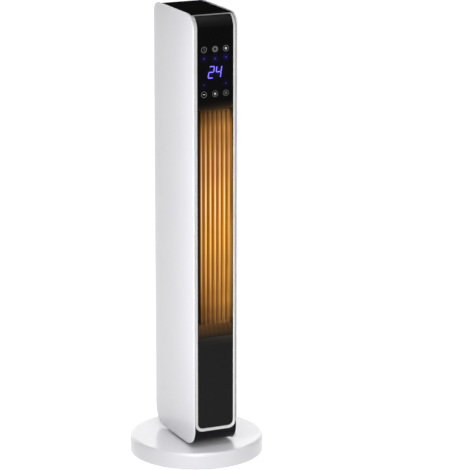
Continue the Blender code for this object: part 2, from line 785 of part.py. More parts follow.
def make_side_panel(name, side):
    """Crowned white shell with rounded corners and clips that hook through the core's wall."""
    inner = core_half + GAP
    outer = TOWER_WIDTH / 2
    form = bmesh.new()
    grow_prism(form, side_outline(), "X", inner, outer)
    for share in PANEL_STATIONS_SHARES:
        station = tower_front + TOWER_DEPTH * share
        everything = form.verts[:] + form.edges[:] + form.faces[:]
        bmesh.ops.bisect_plane(
            form, geom=everything, plane_co=(0, station, 0), plane_no=(0, 1, 0)
        )
    middle = (inner + outer) / 2
    for point in form.verts:
        if point.co.x > middle:
            point.co.x -= crown_drop((point.co.y - tower_front) / TOWER_DEPTH)
    rim = [
        edge
        for edge in form.edges
        if min(end.co.x for end in edge.verts) > middle
        and any(abs(face.normal.x) < RIM_FACE_LEAN for face in edge.link_faces)
    ]
    bmesh.ops.bevel(
        form,
        geom=rim,
        offset=PANEL_ROUND,
        segments=PANEL_ROUND_STEPS,
        profile=0.5,
        affect="EDGES",
        clamp_overlap=True,
    )
    bmesh.ops.remove_doubles(form, verts=form.verts, dist=FUSE / 40)
    if side < 0:
        bmesh.ops.scale(form, vec=(-1, 1, 1), verts=form.verts)
    panel = add(name, to_mesh(name, form), "white")
    floor = side * (inner + PANEL_EDGE - PANEL_WALL)
    near = side * (inner - OVERRUN)
    pocket = side_outline(PANEL_RIM)
    cut(panel, prism(name + "_pocket", pocket, "X", min(near, floor), max(near, floor)))
    for spot, (y, z) in enumerate(clip_spots(), 1):
        tip = side * (inside_half - CLIP_REACH)
        root = floor + side * FUSE
        half = CLIP_SIZE / 2
        xs = (min(tip, root), max(tip, root))
        clip = box(f"{name}_clip_{spot}", xs, (y - half, y + half), (z - half, z + half))
        join(panel, clip)
    return panel


def make_side_panels():
    make_side_panel("side_panel_left", -1)
    make_side_panel("side_panel_right", 1)


def clip_spots():
    """Places of the clips, as (y, z): one row in each half of the core."""
    depth = TOWER_DEPTH * CLIP_DEPTH_SHARE
    heights = [tower_bottom + TOWER_HEIGHT * share for share in CLIP_HEIGHT_SHARES]
    return [(y, z) for y in (-depth, depth) for z in heights]


def clip_holes(name):
    """One cutter with the holes that the clips pass through."""
    half = CLIP_SIZE / 2 + GAP
    form = bmesh.new()
    for y, z in clip_spots():
        for side in (-1, 1):
            xs = (side * (inside_half - OVERRUN), side * (core_half + OVERRUN))
            grow_box(form, (min(xs), max(xs)), (y - half, y + half), (z - half, z + half))
    return add(name, to_mesh(name, form))


def front_band(name, face_inset, back_inset, top_angle, low_angle, half, look):
    """Curved sheet that follows the tower's front between two angles of its end curves."""
    top = (tower_front + TOP_FRONT_RADIUS, tower_top - TOP_FRONT_RADIUS)
    low = (tower_front + BOTTOM_FRONT_RADIUS, tower_bottom + BOTTOM_FRONT_RADIUS)
    outline = []
    for inset, order in ((face_inset, 1), (back_inset, -1)):
        upper = arc(
            top, TOP_FRONT_RADIUS - inset, math.pi / 2 + top_angle, math.pi, CORNER_STEPS
        )
        lower = arc(low, BOTTOM_FRONT_RADIUS - inset, math.pi, math.pi + low_angle, CORNER_STEPS)
        outline += (upper + lower)[::order]
    return prism(name, outline, "X", -half, half, look)


def frame_outline(half, low, corner_radius, high):
    """Upright opening with rounded lower corners, seen from the front as (x, z)."""
    return rounded((-half, half), (low, high), [corner_radius, corner_radius, 0, 0])


def top_line_height(angle, inset):
    return tower_top - TOP_FRONT_RADIUS + (TOP_FRONT_RADIUS - inset) * math.cos(angle)


def make_front_trim():
    """Silver frame round the black front, which runs up over the top curve."""
    low_angle = math.pi / 8
    back = CORE_INSET - GAP
    trim = front_band(
        "front_trim", TRIM_FACE_INSET, back, TRIM_TOP_ANGLE, low_angle, core_half, "silver"
    )
    over = tower_top + OVERRUN
    ends = (tower_front - OVERRUN, tower_front + TOP_FRONT_RADIUS + OVERRUN)
    outer = frame_outline(core_half, trim_low, TRIM_CORNER_RADIUS, over)
    keep(trim, prism("trim_outer", outer, "Y", *ends))
    cut(trim, prism("trim_opening", trim_opening(0), "Y", *ends))
    return trim


def trim_opening(shrink):
    """Opening of the trim, seen from the front, drawn in by shrink."""
    low = trim_low + TRIM_WIDTH + shrink
    angle = TRIM_TOP_ANGLE + TRIM_TOP_WIDTH / TOP_FRONT_RADIUS
    high = top_line_height(angle, TRIM_FACE_INSET) - shrink
    return frame_outline(trim_inner_half - shrink, low, TRIM_INNER_CORNER_RADIUS - shrink, high)


def make_front_panel():
    """Glossy front with the outlet's opening."""
    back = CORE_INSET - GAP
    panel = front_band(
        "front_panel", PANEL_FACE_INSET, back, TRIM_TOP_ANGLE, math.pi / 8, core_half, "black_gloss"
    )
    ends = (tower_front - OVERRUN, tower_front + TOP_FRONT_RADIUS + OVERRUN)
    keep(panel, prism("panel_edge", trim_opening(GAP), "Y", *ends))
    half = outlet_width / 2
    opening = rounded((-half, half), (outlet_low, outlet_high), [OUTLET_CORNER_RADIUS] * 4)
    cut(panel, prism("panel_window", opening, "Y", *ends))
    return panel


def make_chin_cover():
    """Lower front piece that curves back under the tower and fills round the trim's corners."""
    back = CORE_INSET - GAP
    low = (tower_front + BOTTOM_FRONT_RADIUS, tower_bottom + BOTTOM_FRONT_RADIUS)
    high = trim_low + TRIM_CORNER_RADIUS
    outer = arc(low, BOTTOM_FRONT_RADIUS - PANEL_FACE_INSET, math.pi, 3 * math.pi / 2, CORNER_STEPS)
    inner = arc(low, BOTTOM_FRONT_RADIUS - back, 3 * math.pi / 2, math.pi, CORNER_STEPS)
    reach = low[0] + CHIN_REACH
    outline = [(tower_front + PANEL_FACE_INSET, high)] + outer
    outline += [(reach, tower_bottom + PANEL_FACE_INSET), (reach, tower_bottom + back)]
    outline += inner + [(tower_front + back, high)]
    chin = prism("chin_cover", outline, "X", -core_half, core_half, "black_satin")
    notch = frame_outline(core_half + GAP, trim_low - GAP, TRIM_CORNER_RADIUS, tower_top)
    ends = (tower_front - OVERRUN, tower_front + BOTTOM_FRONT_RADIUS)
    cut(chin, prism("chin_notch", notch, "Y", *ends))
    return chin


def make_top_panel():
    """Black top in a shallow tray, from the trim's upper line round the rear corner."""
    back = CORE_INSET - GAP
    front_centre = (tower_front + TOP_FRONT_RADIUS, tower_top - TOP_FRONT_RADIUS)
    rear_centre = (tower_rear - TOP_REAR_RADIUS, tower_top - TOP_REAR_RADIUS)
    start = math.pi / 2 + TRIM_TOP_ANGLE - GAP / TOP_FRONT_RADIUS
    outline = []
    for inset, order in ((TOP_FACE_INSET, 1), (back, -1)):
        front = arc(front_centre, TOP_FRONT_RADIUS - inset, start, math.pi / 2, ARC_STEPS)
        rear = arc(rear_centre, TOP_REAR_RADIUS - inset, math.pi / 2, 0, CORNER_STEPS)
        outline += (front + rear)[::order]
    panel = prism("top_panel", outline, "X", -core_half, core_half, "black_gloss")
    half = core_half - TOP_TRAY_EDGE
    floor = tower_top - TOP_FACE_INSET - TOP_TRAY_DEPTH
    ys = (front_centre[0] + TOP_TRAY_EDGE, rear_centre[0] - TOP_TRAY_EDGE)
    cut(panel, box("top_tray", (-half, half), ys, (floor, tower_top)))
    return panel


def core_shell(name, ys, look):
    """One half of the core: the side outline between two planes, hollowed to its wall."""
    shell = prism(name, side_outline(CORE_INSET), "X", -core_half, core_half, look)
    hollow = side_outline(CORE_INSET + HOUSING_WALL)
    cut(shell, prism(name + "_hollow", hollow, "X", -inside_half, inside_half))
    reach = (core_half + OVERRUN, tower_top + OVERRUN, tower_rear + OVERRUN)
    sides = (-reach[0], reach[0])
    keep(shell, box(name + "_half", sides, ys, (0, reach[1])))
    return shell


def make_front_housing():
    """Front half of the core, with openings for the outlet, the display and the pivot."""
    housing = core_shell("front_housing", (tower_front - OVERRUN, SPLIT), "black_satin")
    front = (tower_front - OVERRUN, core_front + HOUSING_WALL + OVERRUN)
    half = outlet_width / 2 + SURROUND_WALL + GAP
    grow = SURROUND_WALL + GAP
    cut(housing, box("housing_window", (-half, half), front, (outlet_low - grow, outlet_high + grow)))
    half = DISPLAY_CUT_WIDTH / 2
    zs = (display_middle - display_height / 2, display_middle + display_height / 2)
    cut(housing, box("display_window", (-half, half), front, zs))
    hole = [(bush_outer + GAP, (0, 0))]
    ends = (core_bottom - OVERRUN, core_bottom + HOUSING_WALL + OVERRUN)
    cut(housing, rods("housing_pivot_hole", hole, *ends, RING_STEPS))
    cut(housing, clip_holes("housing_clip_holes"))
    return housing


def make_rear_cover():
    """Rear half of the core, with the intake slots, hand recess and switch opening."""
    cover = core_shell("rear_cover", (SPLIT + GAP, tower_rear + OVERRUN), "black_satin")
    half = RECESS_WIDTH / 2
    depth = core_rear - RECESS_DEPTH
    xs = (-half - RECESS_WALL, half + RECESS_WALL)
    zs = (recess_low - RECESS_WALL, recess_high + RECESS_WALL)
    join(cover, box("recess_shell", xs, (depth - RECESS_WALL, core_rear - FUSE), zs))
    cut(cover, box("recess_hollow", (-half, half), (depth, tower_rear), (recess_low, recess_high)))
    cut(cover, intake_slots())
    half = SWITCH_WIDTH / 2 - SWITCH_LIP + GAP
    tall = SWITCH_HEIGHT / 2 - SWITCH_LIP + GAP
    ys = (core_rear - HOUSING_WALL - OVERRUN, tower_rear)
    cut(cover, box("switch_hole", (-half, half), ys, (switch_z - tall, switch_z + tall)))
    to_rear = Matrix.Rotation(-math.pi / 2, 4, "X")
    bores = [(SCREW_SHANK_RADIUS + GAP, (x, -z)) for x, z in rear_screw_spots()]
    cut(cover, rods("rear_screw_holes", bores, *ys, SCREW_SIDES, turn=to_rear))
    cut(cover, clip_holes("cover_clip_holes"))
    return cover


def intake_slots():
    """Grid of flat slots that the fan draws its air through."""
    span = outlet_high - outlet_low
    low = outlet_low + span * GRILLE_LOW_SHARE
    pitch = span * (GRILLE_HIGH_SHARE - GRILLE_LOW_SHARE) / SLOT_ROWS
    width = (GRILLE_WIDTH - GRILLE_POST * (SLOT_COLUMNS - 1)) / SLOT_COLUMNS
    ys = (core_rear - HOUSING_WALL - OVERRUN, tower_rear)
    form = bmesh.new()
    for column in range(SLOT_COLUMNS):
        left = -GRILLE_WIDTH / 2 + column * (width + GRILLE_POST)
        for row in range(SLOT_ROWS):
            bottom = low + row * pitch + (pitch - SLOT_HEIGHT) / 2
            grow_box(form, (left, left + width), ys, (bottom, bottom + SLOT_HEIGHT))
    return add("intake_slots", to_mesh("intake_slots", form))


def rear_screw_spots():
    return [(side * rear_screw_x, z) for side in (-1, 1) for z in (rear_screw_low, rear_screw_high)]


def make_rear_screws():
    seat = -(core_rear + GAP)
    for number, (x, z) in enumerate(rear_screw_spots(), 1):
        length = SCREW_LENGTH + HOUSING_WALL
        screw(f"rear_screw_{number}", seat, (x, 0, z), (0, -1, 0), length)


# Airway


def make_outlet_surround():
    """Recess behind the front opening, with a sloped sill and a slight hood."""
    half = outlet_width / 2
    outer = half + SURROUND_WALL
    zs = (outlet_low - SURROUND_WALL, outlet_high + SURROUND_WALL)
    surround = box(
        "outlet_surround", (-outer, outer), (surround_front, surround_back), zs, "black_gloss"
    )
    front = surround_front - OVERRUN
    knee = tower_front + PANEL_FACE_INSET + SILL_RUN
    back = surround_back + OVERRUN
    airway = [
        (front, outlet_low),
        (surround_front, outlet_low),
        (knee, outlet_low + SILL_RISE),
        (back, outlet_low + SILL_RISE),
        (back, outlet_high - HOOD_DROP),
        (knee, outlet_high - HOOD_DROP),
        (surround_front, outlet_high),
        (front, outlet_high),
    ]
    cut(surround, prism("airway", airway, "X", -half, half))
    return surround


def slat_outline(x, y):
    """Section of one slat: a long oval."""
    turns = [2 * math.pi * side / SLAT_SIDES for side in range(SLAT_SIDES)]
    return [
        (x + SLAT_WIDTH / 2 * math.cos(turn), y + SLAT_CHORD / 2 * math.sin(turn)) for turn in turns
    ]


def make_outlet_louvre():
    """Upright slats on two rails, which stand behind the sill."""
    low = outlet_low + SILL_RISE + GAP
    high = outlet_high - HOOD_DROP - GAP
    half = outlet_width / 2 - GAP
    knee = tower_front + PANEL_FACE_INSET + SILL_RUN
    middle = knee + GAP + SLAT_CHORD / 2
    rail = (middle, middle + SLAT_CHORD / 2)
    louvre = box("outlet_louvre", (-half, half), rail, (low, low + SLAT_RAIL), "gold")
    join(louvre, box("louvre_top_rail", (-half, half), rail, (high - SLAT_RAIL, high)))
    pitch = outlet_width / (SLAT_COUNT + 1)
    places = [-outlet_width / 2 + pitch * (number + 1) for number in range(SLAT_COUNT)]
    outlines = [slat_outline(x, middle) for x in places]
    ends = (low + SLAT_RAIL / 3, high - SLAT_RAIL / 3)
    join(louvre, prisms("louvre_slats", outlines, "Z", *ends))
    return louvre


def make_heater_frame():
    """Heat-proof frame round the two elements."""
    half = heater_half
    ys = (heater_front, heater_front + HEATER_DEPTH)
    frame = box("heater_frame", (-half, half), ys, (heater_low, heater_high), "brown")
    for side in (-1, 1):
        xs = (side * HEATER_MIDDLE / 2, side * (half - HEATER_BORDER))
        zs = (heater_low + HEATER_BORDER, heater_high - HEATER_BORDER)
        through = (ys[0] - OVERRUN, ys[1] + OVERRUN)
        cut(frame, box(f"heater_bay_{side}", (min(xs), max(xs)), through, zs))
    return frame


def make_heater_elements():
    """Finned bars: a ceramic core with a comb of fins on both sides."""
    half = heater_half
    near = HEATER_MIDDLE / 2 + GAP
    far = half - HEATER_BORDER - GAP
    middle = (near + far) / 2
    low = heater_low + HEATER_BORDER + GAP
    high = heater_high - HEATER_BORDER - GAP
    pitch = (high - low - ELEMENT_FIN) / (ELEMENT_FIN_COUNT - 1)
    front = heater_front + (HEATER_DEPTH - ELEMENT_DEPTH) / 2
    right = []
    for number in range(ELEMENT_FIN_COUNT):
        bottom = low + pitch * number
        core = middle + ELEMENT_CORE_WIDTH / 2
        right += [(core, bottom), (far, bottom), (far, bottom + ELEMENT_FIN)]
        right += [(core, bottom + ELEMENT_FIN)]
    left = [(2 * middle - x, z) for x, z in right[::-1]]
    for name, side in (("heater_element_left", -1), ("heater_element_right", 1)):
        outline = [(side * x, z) for x, z in right + left]
        prism(name, outline, "Y", front, front + ELEMENT_DEPTH, "aluminium")


def make_thermal_cutout():
    """Snap disc on the heater frame's rear, which opens when the frame runs too hot."""
    centre = (inside_half - HEATER_BORDER - CUTOUT_RADIUS, -(heater_high - 2 * HEATER_BORDER))
    low = heater_front + HEATER_DEPTH + GAP
    to_rear = Matrix.Rotation(-math.pi / 2, 4, "X")
    form = bmesh.new()
    grow_rod(form, CUTOUT_RADIUS, centre, low, low + CUTOUT_THICKNESS, FOOT_SIDES, to_rear)
    item = add("thermal_cutout", to_mesh("thermal_cutout", form), "steel")
    ear = CUTOUT_RADIUS + HEATER_BORDER / 2
    zs = (-centre[1] - CUTOUT_RADIUS / 2, -centre[1] + CUTOUT_RADIUS / 2)
    xs = (centre[0] - CUTOUT_RADIUS, centre[0] + ear)
    join(item, box("cutout_ears", xs, (low, low + CUTOUT_THICKNESS / 4), zs))
    return item


def screw_bosses(name, z):
    """Blocks at the rear edge of a bulkhead that take the rear cover's screws."""
    half = screw_boss_side / 2
    rear = core_rear - HOUSING_WALL - GAP
    form = bmesh.new()
    for side in (-1, 1):
        x = side * rear_screw_x
        grow_box(form, (x - half, x + half), (rear - screw_boss_depth, rear), (z - half, z + half))
    return add(name, to_mesh(name, form))


def make_bulkhead(name, zs, screw_z, bore_radius):
    """Shelf across the core, with a round opening on the fan's axis and two screw bosses."""
    half = inside_half - GAP
    shelf = box(name, (-half, half), (heater_front, filter_front - GAP), zs, "grey")
    join(shelf, screw_bosses(name + "_bosses", screw_z + (FUSE if screw_z < zs[0] else -FUSE)))
    to_rear = Matrix.Rotation(-math.pi / 2, 4, "X")
    rear = core_rear - HOUSING_WALL - GAP
    bores = [(SCREW_SHANK_RADIUS + GAP, (side * rear_screw_x, -screw_z)) for side in (-1, 1)]
    ends = (rear - SCREW_LENGTH - GAP, rear + OVERRUN)
    cut(shelf, rods(name + "_screw_bores", bores, *ends, SCREW_SIDES, turn=to_rear))
    hole = [(bore_radius, (0, rotor_y))]
    cut(shelf, rods(name + "_bore", hole, zs[0] - OVERRUN, zs[1] + OVERRUN, MOTOR_SIDES))
    return shelf


def make_bulkheads():
    lower = (lower_bulkhead_bottom, lower_bulkhead_top)
    upper = (upper_bulkhead_bottom, upper_bulkhead_top)
    make_bulkhead("lower_bulkhead", lower, rear_screw_low, MOTOR_NOSE_RADIUS + GAP)
    make_bulkhead("upper_bulkhead", upper, rear_screw_high, BEARING_RADIUS + GAP)


def make_upper_bearing():
    """Flanged plain bearing on top of the upper bulkhead."""
    low = upper_bulkhead_bottom
    shoulder = upper_bulkhead_top + GAP
    high = low + BEARING_LENGTH
    bore = ROTOR_PIN_RADIUS + GAP
    flange = BEARING_RADIUS + BEARING_HOUSING_WALL
    profile = [
        (bore, high),
        (BEARING_RADIUS, high),
        (flange, shoulder + BEARING_HOUSING_WALL),
        (flange, shoulder),
        (BEARING_RADIUS, shoulder),
        (BEARING_RADIUS, low),
        (bore, low),
    ]
    return turned("upper_bearing", profile, (0, rotor_y, 0), FOOT_SIDES, "natural")


def blade_outline(turn):
    """Section of one forward-curved blade, between two arcs."""
    outer = ROTOR_RADIUS - ROTOR_DISC_THICKNESS / 2
    inner = outer - BLADE_DEPTH
    outline = []
    for radius, order in ((outer, 1), (inner, -1)):
        half = BLADE_THICKNESS / (2 * radius)
        lead = BLADE_SWEEP if radius == outer else 0
        outline += [polar(radius, turn + lead - order * half), polar(radius, turn + lead + order * half)]
    middle = (outer + inner) / 2
    bulge = BLADE_SWEEP / 4
    half = BLADE_THICKNESS / (2 * middle)
    outline.insert(2, polar(middle, turn + bulge + half))
    outline.append(polar(middle, turn + bulge - half))
    return [(x, y + rotor_y) for x, y in outline]


def make_fan_rotor():
    """Crossflow rotor: rows of curved blades between thin discs, with a hub and an end pin."""
    span = rotor_high - rotor_low
    step = (span - ROTOR_DISC_THICKNESS) / (ROTOR_DISC_COUNT - 1)
    centre = (0, rotor_y)
    form = bmesh.new()
    for number in range(ROTOR_DISC_COUNT):
        low = rotor_low + step * number
        grow_rod(form, ROTOR_RADIUS, centre, low, low + ROTOR_DISC_THICKNESS, ROTOR_DISC_SIDES)
    rotor = add("fan_rotor", to_mesh("fan_rotor", form), "black_satin")
    turns = [2 * math.pi * number / BLADE_COUNT for number in range(BLADE_COUNT)]
    ends = (rotor_low + ROTOR_DISC_THICKNESS / 3, rotor_high - ROTOR_DISC_THICKNESS / 3)
    join(rotor, prisms("rotor_blades", [blade_outline(turn) for turn in turns], "Z", *ends))
    hub = [(ROTOR_HUB_RADIUS, centre)]
    ends = (rotor_low + FUSE, rotor_low + ROTOR_HUB_LENGTH)
    join(rotor, rods("rotor_hub", hub, *ends, FOOT_SIDES))
    pin = [(ROTOR_PIN_RADIUS, centre)]
    ends = (rotor_high - FUSE, upper_bulkhead_bottom + BEARING_LENGTH - GAP)
    join(rotor, rods("rotor_pin", pin, *ends, SCREW_SIDES))
    bore = [(SHAFT_RADIUS + GAP, centre)]
    ends = (rotor_low - OVERRUN, rotor_low + ROTOR_HUB_LENGTH - ROTOR_DISC_THICKNESS)
    cut(rotor, rods("rotor_bore", bore, *ends, SCREW_SIDES))
    return rotor


def make_fan_shaft():
    low = motor_top - MOTOR_BORE_DEPTH + GAP
    high = rotor_low + ROTOR_HUB_LENGTH - ROTOR_DISC_THICKNESS - GAP
    place = [(SHAFT_RADIUS, (0, rotor_y))]
    return rods("fan_shaft", place, low, high, SCREW_SIDES, "steel")


def make_fan_motor():
    """Can motor under the lower bulkhead, with a nose that passes through it."""
    bell = motor_top
    high = bell - MOTOR_BELL_HEIGHT
    low = high - MOTOR_HEIGHT
    tip = lower_bulkhead_top
    bore = SHAFT_RADIUS + GAP
    profile = [
        (bore, tip),
        (MOTOR_NOSE_RADIUS, tip),
        (MOTOR_NOSE_RADIUS, bell),
        (MOTOR_BELL_RADIUS, bell),
        (MOTOR_RADIUS, high),
        (MOTOR_RADIUS, low),
        (MOTOR_BELL_RADIUS, low - MOTOR_BELL_HEIGHT / 2),
        (0, low - MOTOR_BELL_HEIGHT / 2),
        (0, motor_top - MOTOR_BORE_DEPTH),
        (bore, motor_top - MOTOR_BORE_DEPTH),
    ]
    return turned("fan_motor", profile, (0, rotor_y, 0), MOTOR_SIDES, "steel")


def make_scroll_wall():
    """Volute wall that opens round the rotor from the intake to the outlet."""
    start = math.radians(62)
    end = math.radians(-30)
    outer, inner = [], []
    for step in range(SCROLL_STEPS + 1):
        share = step / SCROLL_STEPS
        gap = SCROLL_START_GAP + (SCROLL_END_GAP - SCROLL_START_GAP) * share
        angle = start + (end - start) * share
        limit = (inside_half - GAP) / max(math.cos(angle), math.cos(start))
        radius = min(ROTOR_RADIUS + gap, limit - SCROLL_THICKNESS)
        inner.append(polar(radius, angle, (0, rotor_y)))
        outer.append(polar(radius + SCROLL_THICKNESS, angle, (0, rotor_y)))
    wall = heater_front + HEATER_DEPTH + CUTOUT_THICKNESS + 2 * GAP
    last = inside_half - GAP
    inner.append((last - SCROLL_THICKNESS, wall))
    outer.append((last, wall))
    ends = (lower_bulkhead_top + GAP, upper_bulkhead_bottom - GAP)
    return prism("scroll_wall", inner + outer[::-1], "Z", *ends, "grey")


def make_scroll_tongue():
    """Rounded lip that parts the outgoing air from the intake."""
    angle = math.radians(188)
    reach = ROTOR_RADIUS + SCROLL_START_GAP + TONGUE_RADIUS
    centre = polar(reach, angle, (0, rotor_y))
    wall = heater_front + HEATER_DEPTH + CUTOUT_THICKNESS + 2 * GAP
    side = -(inside_half - GAP)
    lip = arc(centre, TONGUE_RADIUS, math.radians(20), math.radians(180), CORNER_STEPS)
    outline = lip + [(side, centre[1]), (side, wall), (side + SCROLL_THICKNESS, wall)]
    ends = (lower_bulkhead_top + GAP, upper_bulkhead_bottom - GAP)
    return prism("scroll_tongue", outline, "Z", *ends, "grey")


def make_intake_filter():
    """Dust filter behind the grille: a frame with a coarse lattice."""
    half = inside_half - GAP
    zs = (rear_screw_low + screw_boss_side, rear_screw_high - screw_boss_side)
    mesh = box("intake_filter", (-half, half), (filter_front, filter_rear), zs, "black_satin")
    width = (2 * half - 2 * FILTER_BORDER - (FILTER_COLUMNS - 1) * FILTER_BAR) / FILTER_COLUMNS
    height = (zs[1] - zs[0] - 2 * FILTER_BORDER - (FILTER_ROWS - 1) * FILTER_BAR) / FILTER_ROWS
    form = bmesh.new()
    for column in range(FILTER_COLUMNS):
        left = -half + FILTER_BORDER + column * (width + FILTER_BAR)
        for row in range(FILTER_ROWS):
            low = zs[0] + FILTER_BORDER + row * (height + FILTER_BAR)
            ys = (filter_front - OVERRUN, filter_rear + OVERRUN)
            grow_box(form, (left, left + width), ys, (low, low + height))
    cut(mesh, add("filter_windows", to_mesh("filter_windows", form)))
    return mesh


# Controls and electrics


def make_control_board():
    """Touch board behind the front wall of the core."""
    front = core_front + HOUSING_WALL + GAP
    half = CONTROL_BOARD_WIDTH / 2
    shares = (CONTROL_BOARD_LOW_SHARE, CONTROL_BOARD_HIGH_SHARE)
    zs = tuple(tower_top - control_space * share for share in shares)
    ys = (front, front + BOARD_THICKNESS)
    return box("control_board", (-half, half), ys, zs, "copper_board")


def make_display_module():
    """Two-digit display that fills the opening in the core's front wall."""
    half = DISPLAY_CUT_WIDTH / 2 - GAP
    tall = display_height / 2 - GAP
    rear = core_front + HOUSING_WALL
    ys = (core_front + GAP, rear)
    zs = (display_middle - tall, display_middle + tall)
    return box("display_module", (-half, half), ys, zs, "lens")


def make_power_board():
    """Mains board on stand-offs along the left wall, with two relays and a capacitor."""
    wall = -inside_half + GAP
    face = wall + POWER_BOARD_STAND_OFF
    low = tower_bottom + POWER_BOARD_LOW
    high = low + POWER_BOARD_HEIGHT
    front = core_front + HOUSING_WALL + POWER_BOARD_FRONT_GAP
    ys = (front, front + POWER_BOARD_LENGTH)
    xs = (face, face + BOARD_THICKNESS)
    board = box("power_board", xs, ys, (low, high), "copper_board")
    to_side = Matrix.Rotation(math.pi / 2, 4, "Y")
    edge = 2 * STAND_OFF_RADIUS
    spots = [(-z, y) for y in (ys[0] + edge, ys[1] - edge) for z in (low + edge, high - edge)]
    legs = [(STAND_OFF_RADIUS, spot) for spot in spots]
    join(board, rods("board_legs", legs, wall, face + FUSE, SCREW_SIDES, turn=to_side))
    tall, long, high_part = RELAY_SIZE
    form = bmesh.new()
    for number in range(2):
        start = ys[0] + edge + number * (long + edge)
        bottom = low + 2 * edge
        xs = (face + FUSE, face + BOARD_THICKNESS + tall)
        grow_box(form, xs, (start, start + long), (bottom, bottom + high_part))
    join(board, add("relays", to_mesh("relays", form)))
    centre = (-(high - 2 * edge - CAPACITOR_RADIUS), (ys[0] + ys[1]) / 2)
    ends = (face + FUSE, face + BOARD_THICKNESS + CAPACITOR_LENGTH)
    can = [(CAPACITOR_RADIUS, centre)]
    join(board, rods("capacitor", can, *ends, FOOT_SIDES, turn=to_side))
    return board


def make_tilt_switch():
    """Tip-over switch against the right wall: a case with a ball chamber's round cap."""
    wide, deep, tall = TILT_BODY
    wall = inside_half - GAP
    low = tower_bottom + POWER_BOARD_LOW
    centre = (wall - wide / 2, 0)
    switch = box(
        "tilt_switch", (wall - wide, wall), (-deep / 2, deep / 2), (low, low + tall), "grey"
    )
    cap = [(wide / 3, centre)]
    ends = (low + tall - FUSE, low + tall + wide / 4)
    join(switch, rods("tilt_cap", cap, *ends, FOOT_SIDES))
    return switch


def make_switch_housing():
    """Bezel and body of the main switch, open to the rear for the rocker."""
    seat = core_rear + GAP
    half, tall = SWITCH_WIDTH / 2, SWITCH_HEIGHT / 2
    ys = (seat, seat + SWITCH_LIP_THICKNESS)
    zs = (switch_z - tall, switch_z + tall)
    housing = box("switch_housing", (-half, half), ys, zs, "black_satin")
    half, tall = half - SWITCH_LIP, tall - SWITCH_LIP
    ys = (seat - SWITCH_DEPTH, seat + FUSE)
    body = box("switch_body", (-half, half), ys, (switch_z - tall, switch_z + tall))
    join(housing, body)
    half, tall = half - SWITCH_WALL, tall - SWITCH_WALL
    ys = (seat - SWITCH_DEPTH + SWITCH_WALL, seat + SWITCH_LIP_THICKNESS + OVERRUN)
    hollow = box("switch_hollow", (-half, half), ys, (switch_z - tall, switch_z + tall))
    cut(housing, hollow)
    return housing


def rocker_pivot():
    return core_rear + GAP, switch_z


def make_main_switch():
    """Rocker, shown pressed at its upper end. It tips about a line across the tower."""
    half = SWITCH_WIDTH / 2 - SWITCH_LIP - SWITCH_WALL - GAP
    tall = SWITCH_HEIGHT / 2 - SWITCH_LIP - SWITCH_WALL
    arm = tall - 2 * GAP - ROCKER_PROUD * math.sin(ROCKER_TILT)
    waist = ROCKER_PROUD / 2
    shape = [
        (-ROCKER_DEPTH, -arm / 2),
        (-ROCKER_DEPTH / 2, -arm),
        (ROCKER_PROUD, -arm),
        (waist, 0),
        (ROCKER_PROUD, arm),
        (-ROCKER_DEPTH / 2, arm),
        (-ROCKER_DEPTH, arm / 2),
    ]
    pivot_y, pivot_z = rocker_pivot()
    tilt = ROCKER_TILT
    outline = [
        (
            pivot_y + y * math.cos(tilt) - z * math.sin(tilt),
            pivot_z + y * math.sin(tilt) + z * math.cos(tilt),
        )
        for y, z in shape
    ]
    return prism("main_switch", outline, "X", -half, half, "black_gloss")


def carry(name, place, makers, parent=None):
    """Makes pieces and hangs them on an empty that stands on their joint's axis."""
    before = list(heater.objects)
    for maker in makers:
        maker()
    axis = bpy.data.objects.new(name, None)
    axis.location = place
    axis.parent = parent
    for item in heater.objects:
        if item not in before:
            item.parent = axis
            item.matrix_parent_inverse = Matrix.Translation(-Vector(place))
    heater.objects.link(axis)
    return axis


make_base_cover()
make_base_plate()
make_base_weight()
make_feet()
make_base_screws()
make_cord_gland()
make_swing_gear()
make_thrust_washer()
tower_makers = (
    make_pivot_bush,
    make_swing_plate,
    make_swing_motor,
    make_side_panels,
    make_front_trim,
    make_front_panel,
    make_chin_cover,
    make_top_panel,
    make_front_housing,
    make_rear_cover,
    make_rear_screws,
    make_outlet_surround,
    make_outlet_louvre,
    make_heater_frame,
    make_heater_elements,
    make_thermal_cutout,
    make_bulkheads,
    make_upper_bearing,
    make_fan_motor,
    make_scroll_wall,
    make_scroll_tongue,
    make_intake_filter,
    make_control_board,
    make_display_module,
    make_power_board,
    make_tilt_switch,
    make_switch_housing,
)
tower = carry("swing_axis", (0, 0, 0), tower_makers)
carry("fan_axis", (0, rotor_y, 0), (make_fan_rotor, make_fan_shaft), tower)
carry("pinion_axis", (0, pinion_y, 0), (make_swing_pinion,), tower)
carry("switch_axis", (0, *rocker_pivot()), (make_main_switch,), tower)
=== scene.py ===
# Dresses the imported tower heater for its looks: shells, trim, glowing louvre, touch keys and the studio.
# Metres, the front faces -Y, the floor is z = 0.
import math

import bmesh
import bpy
from mathutils import Matrix, Vector


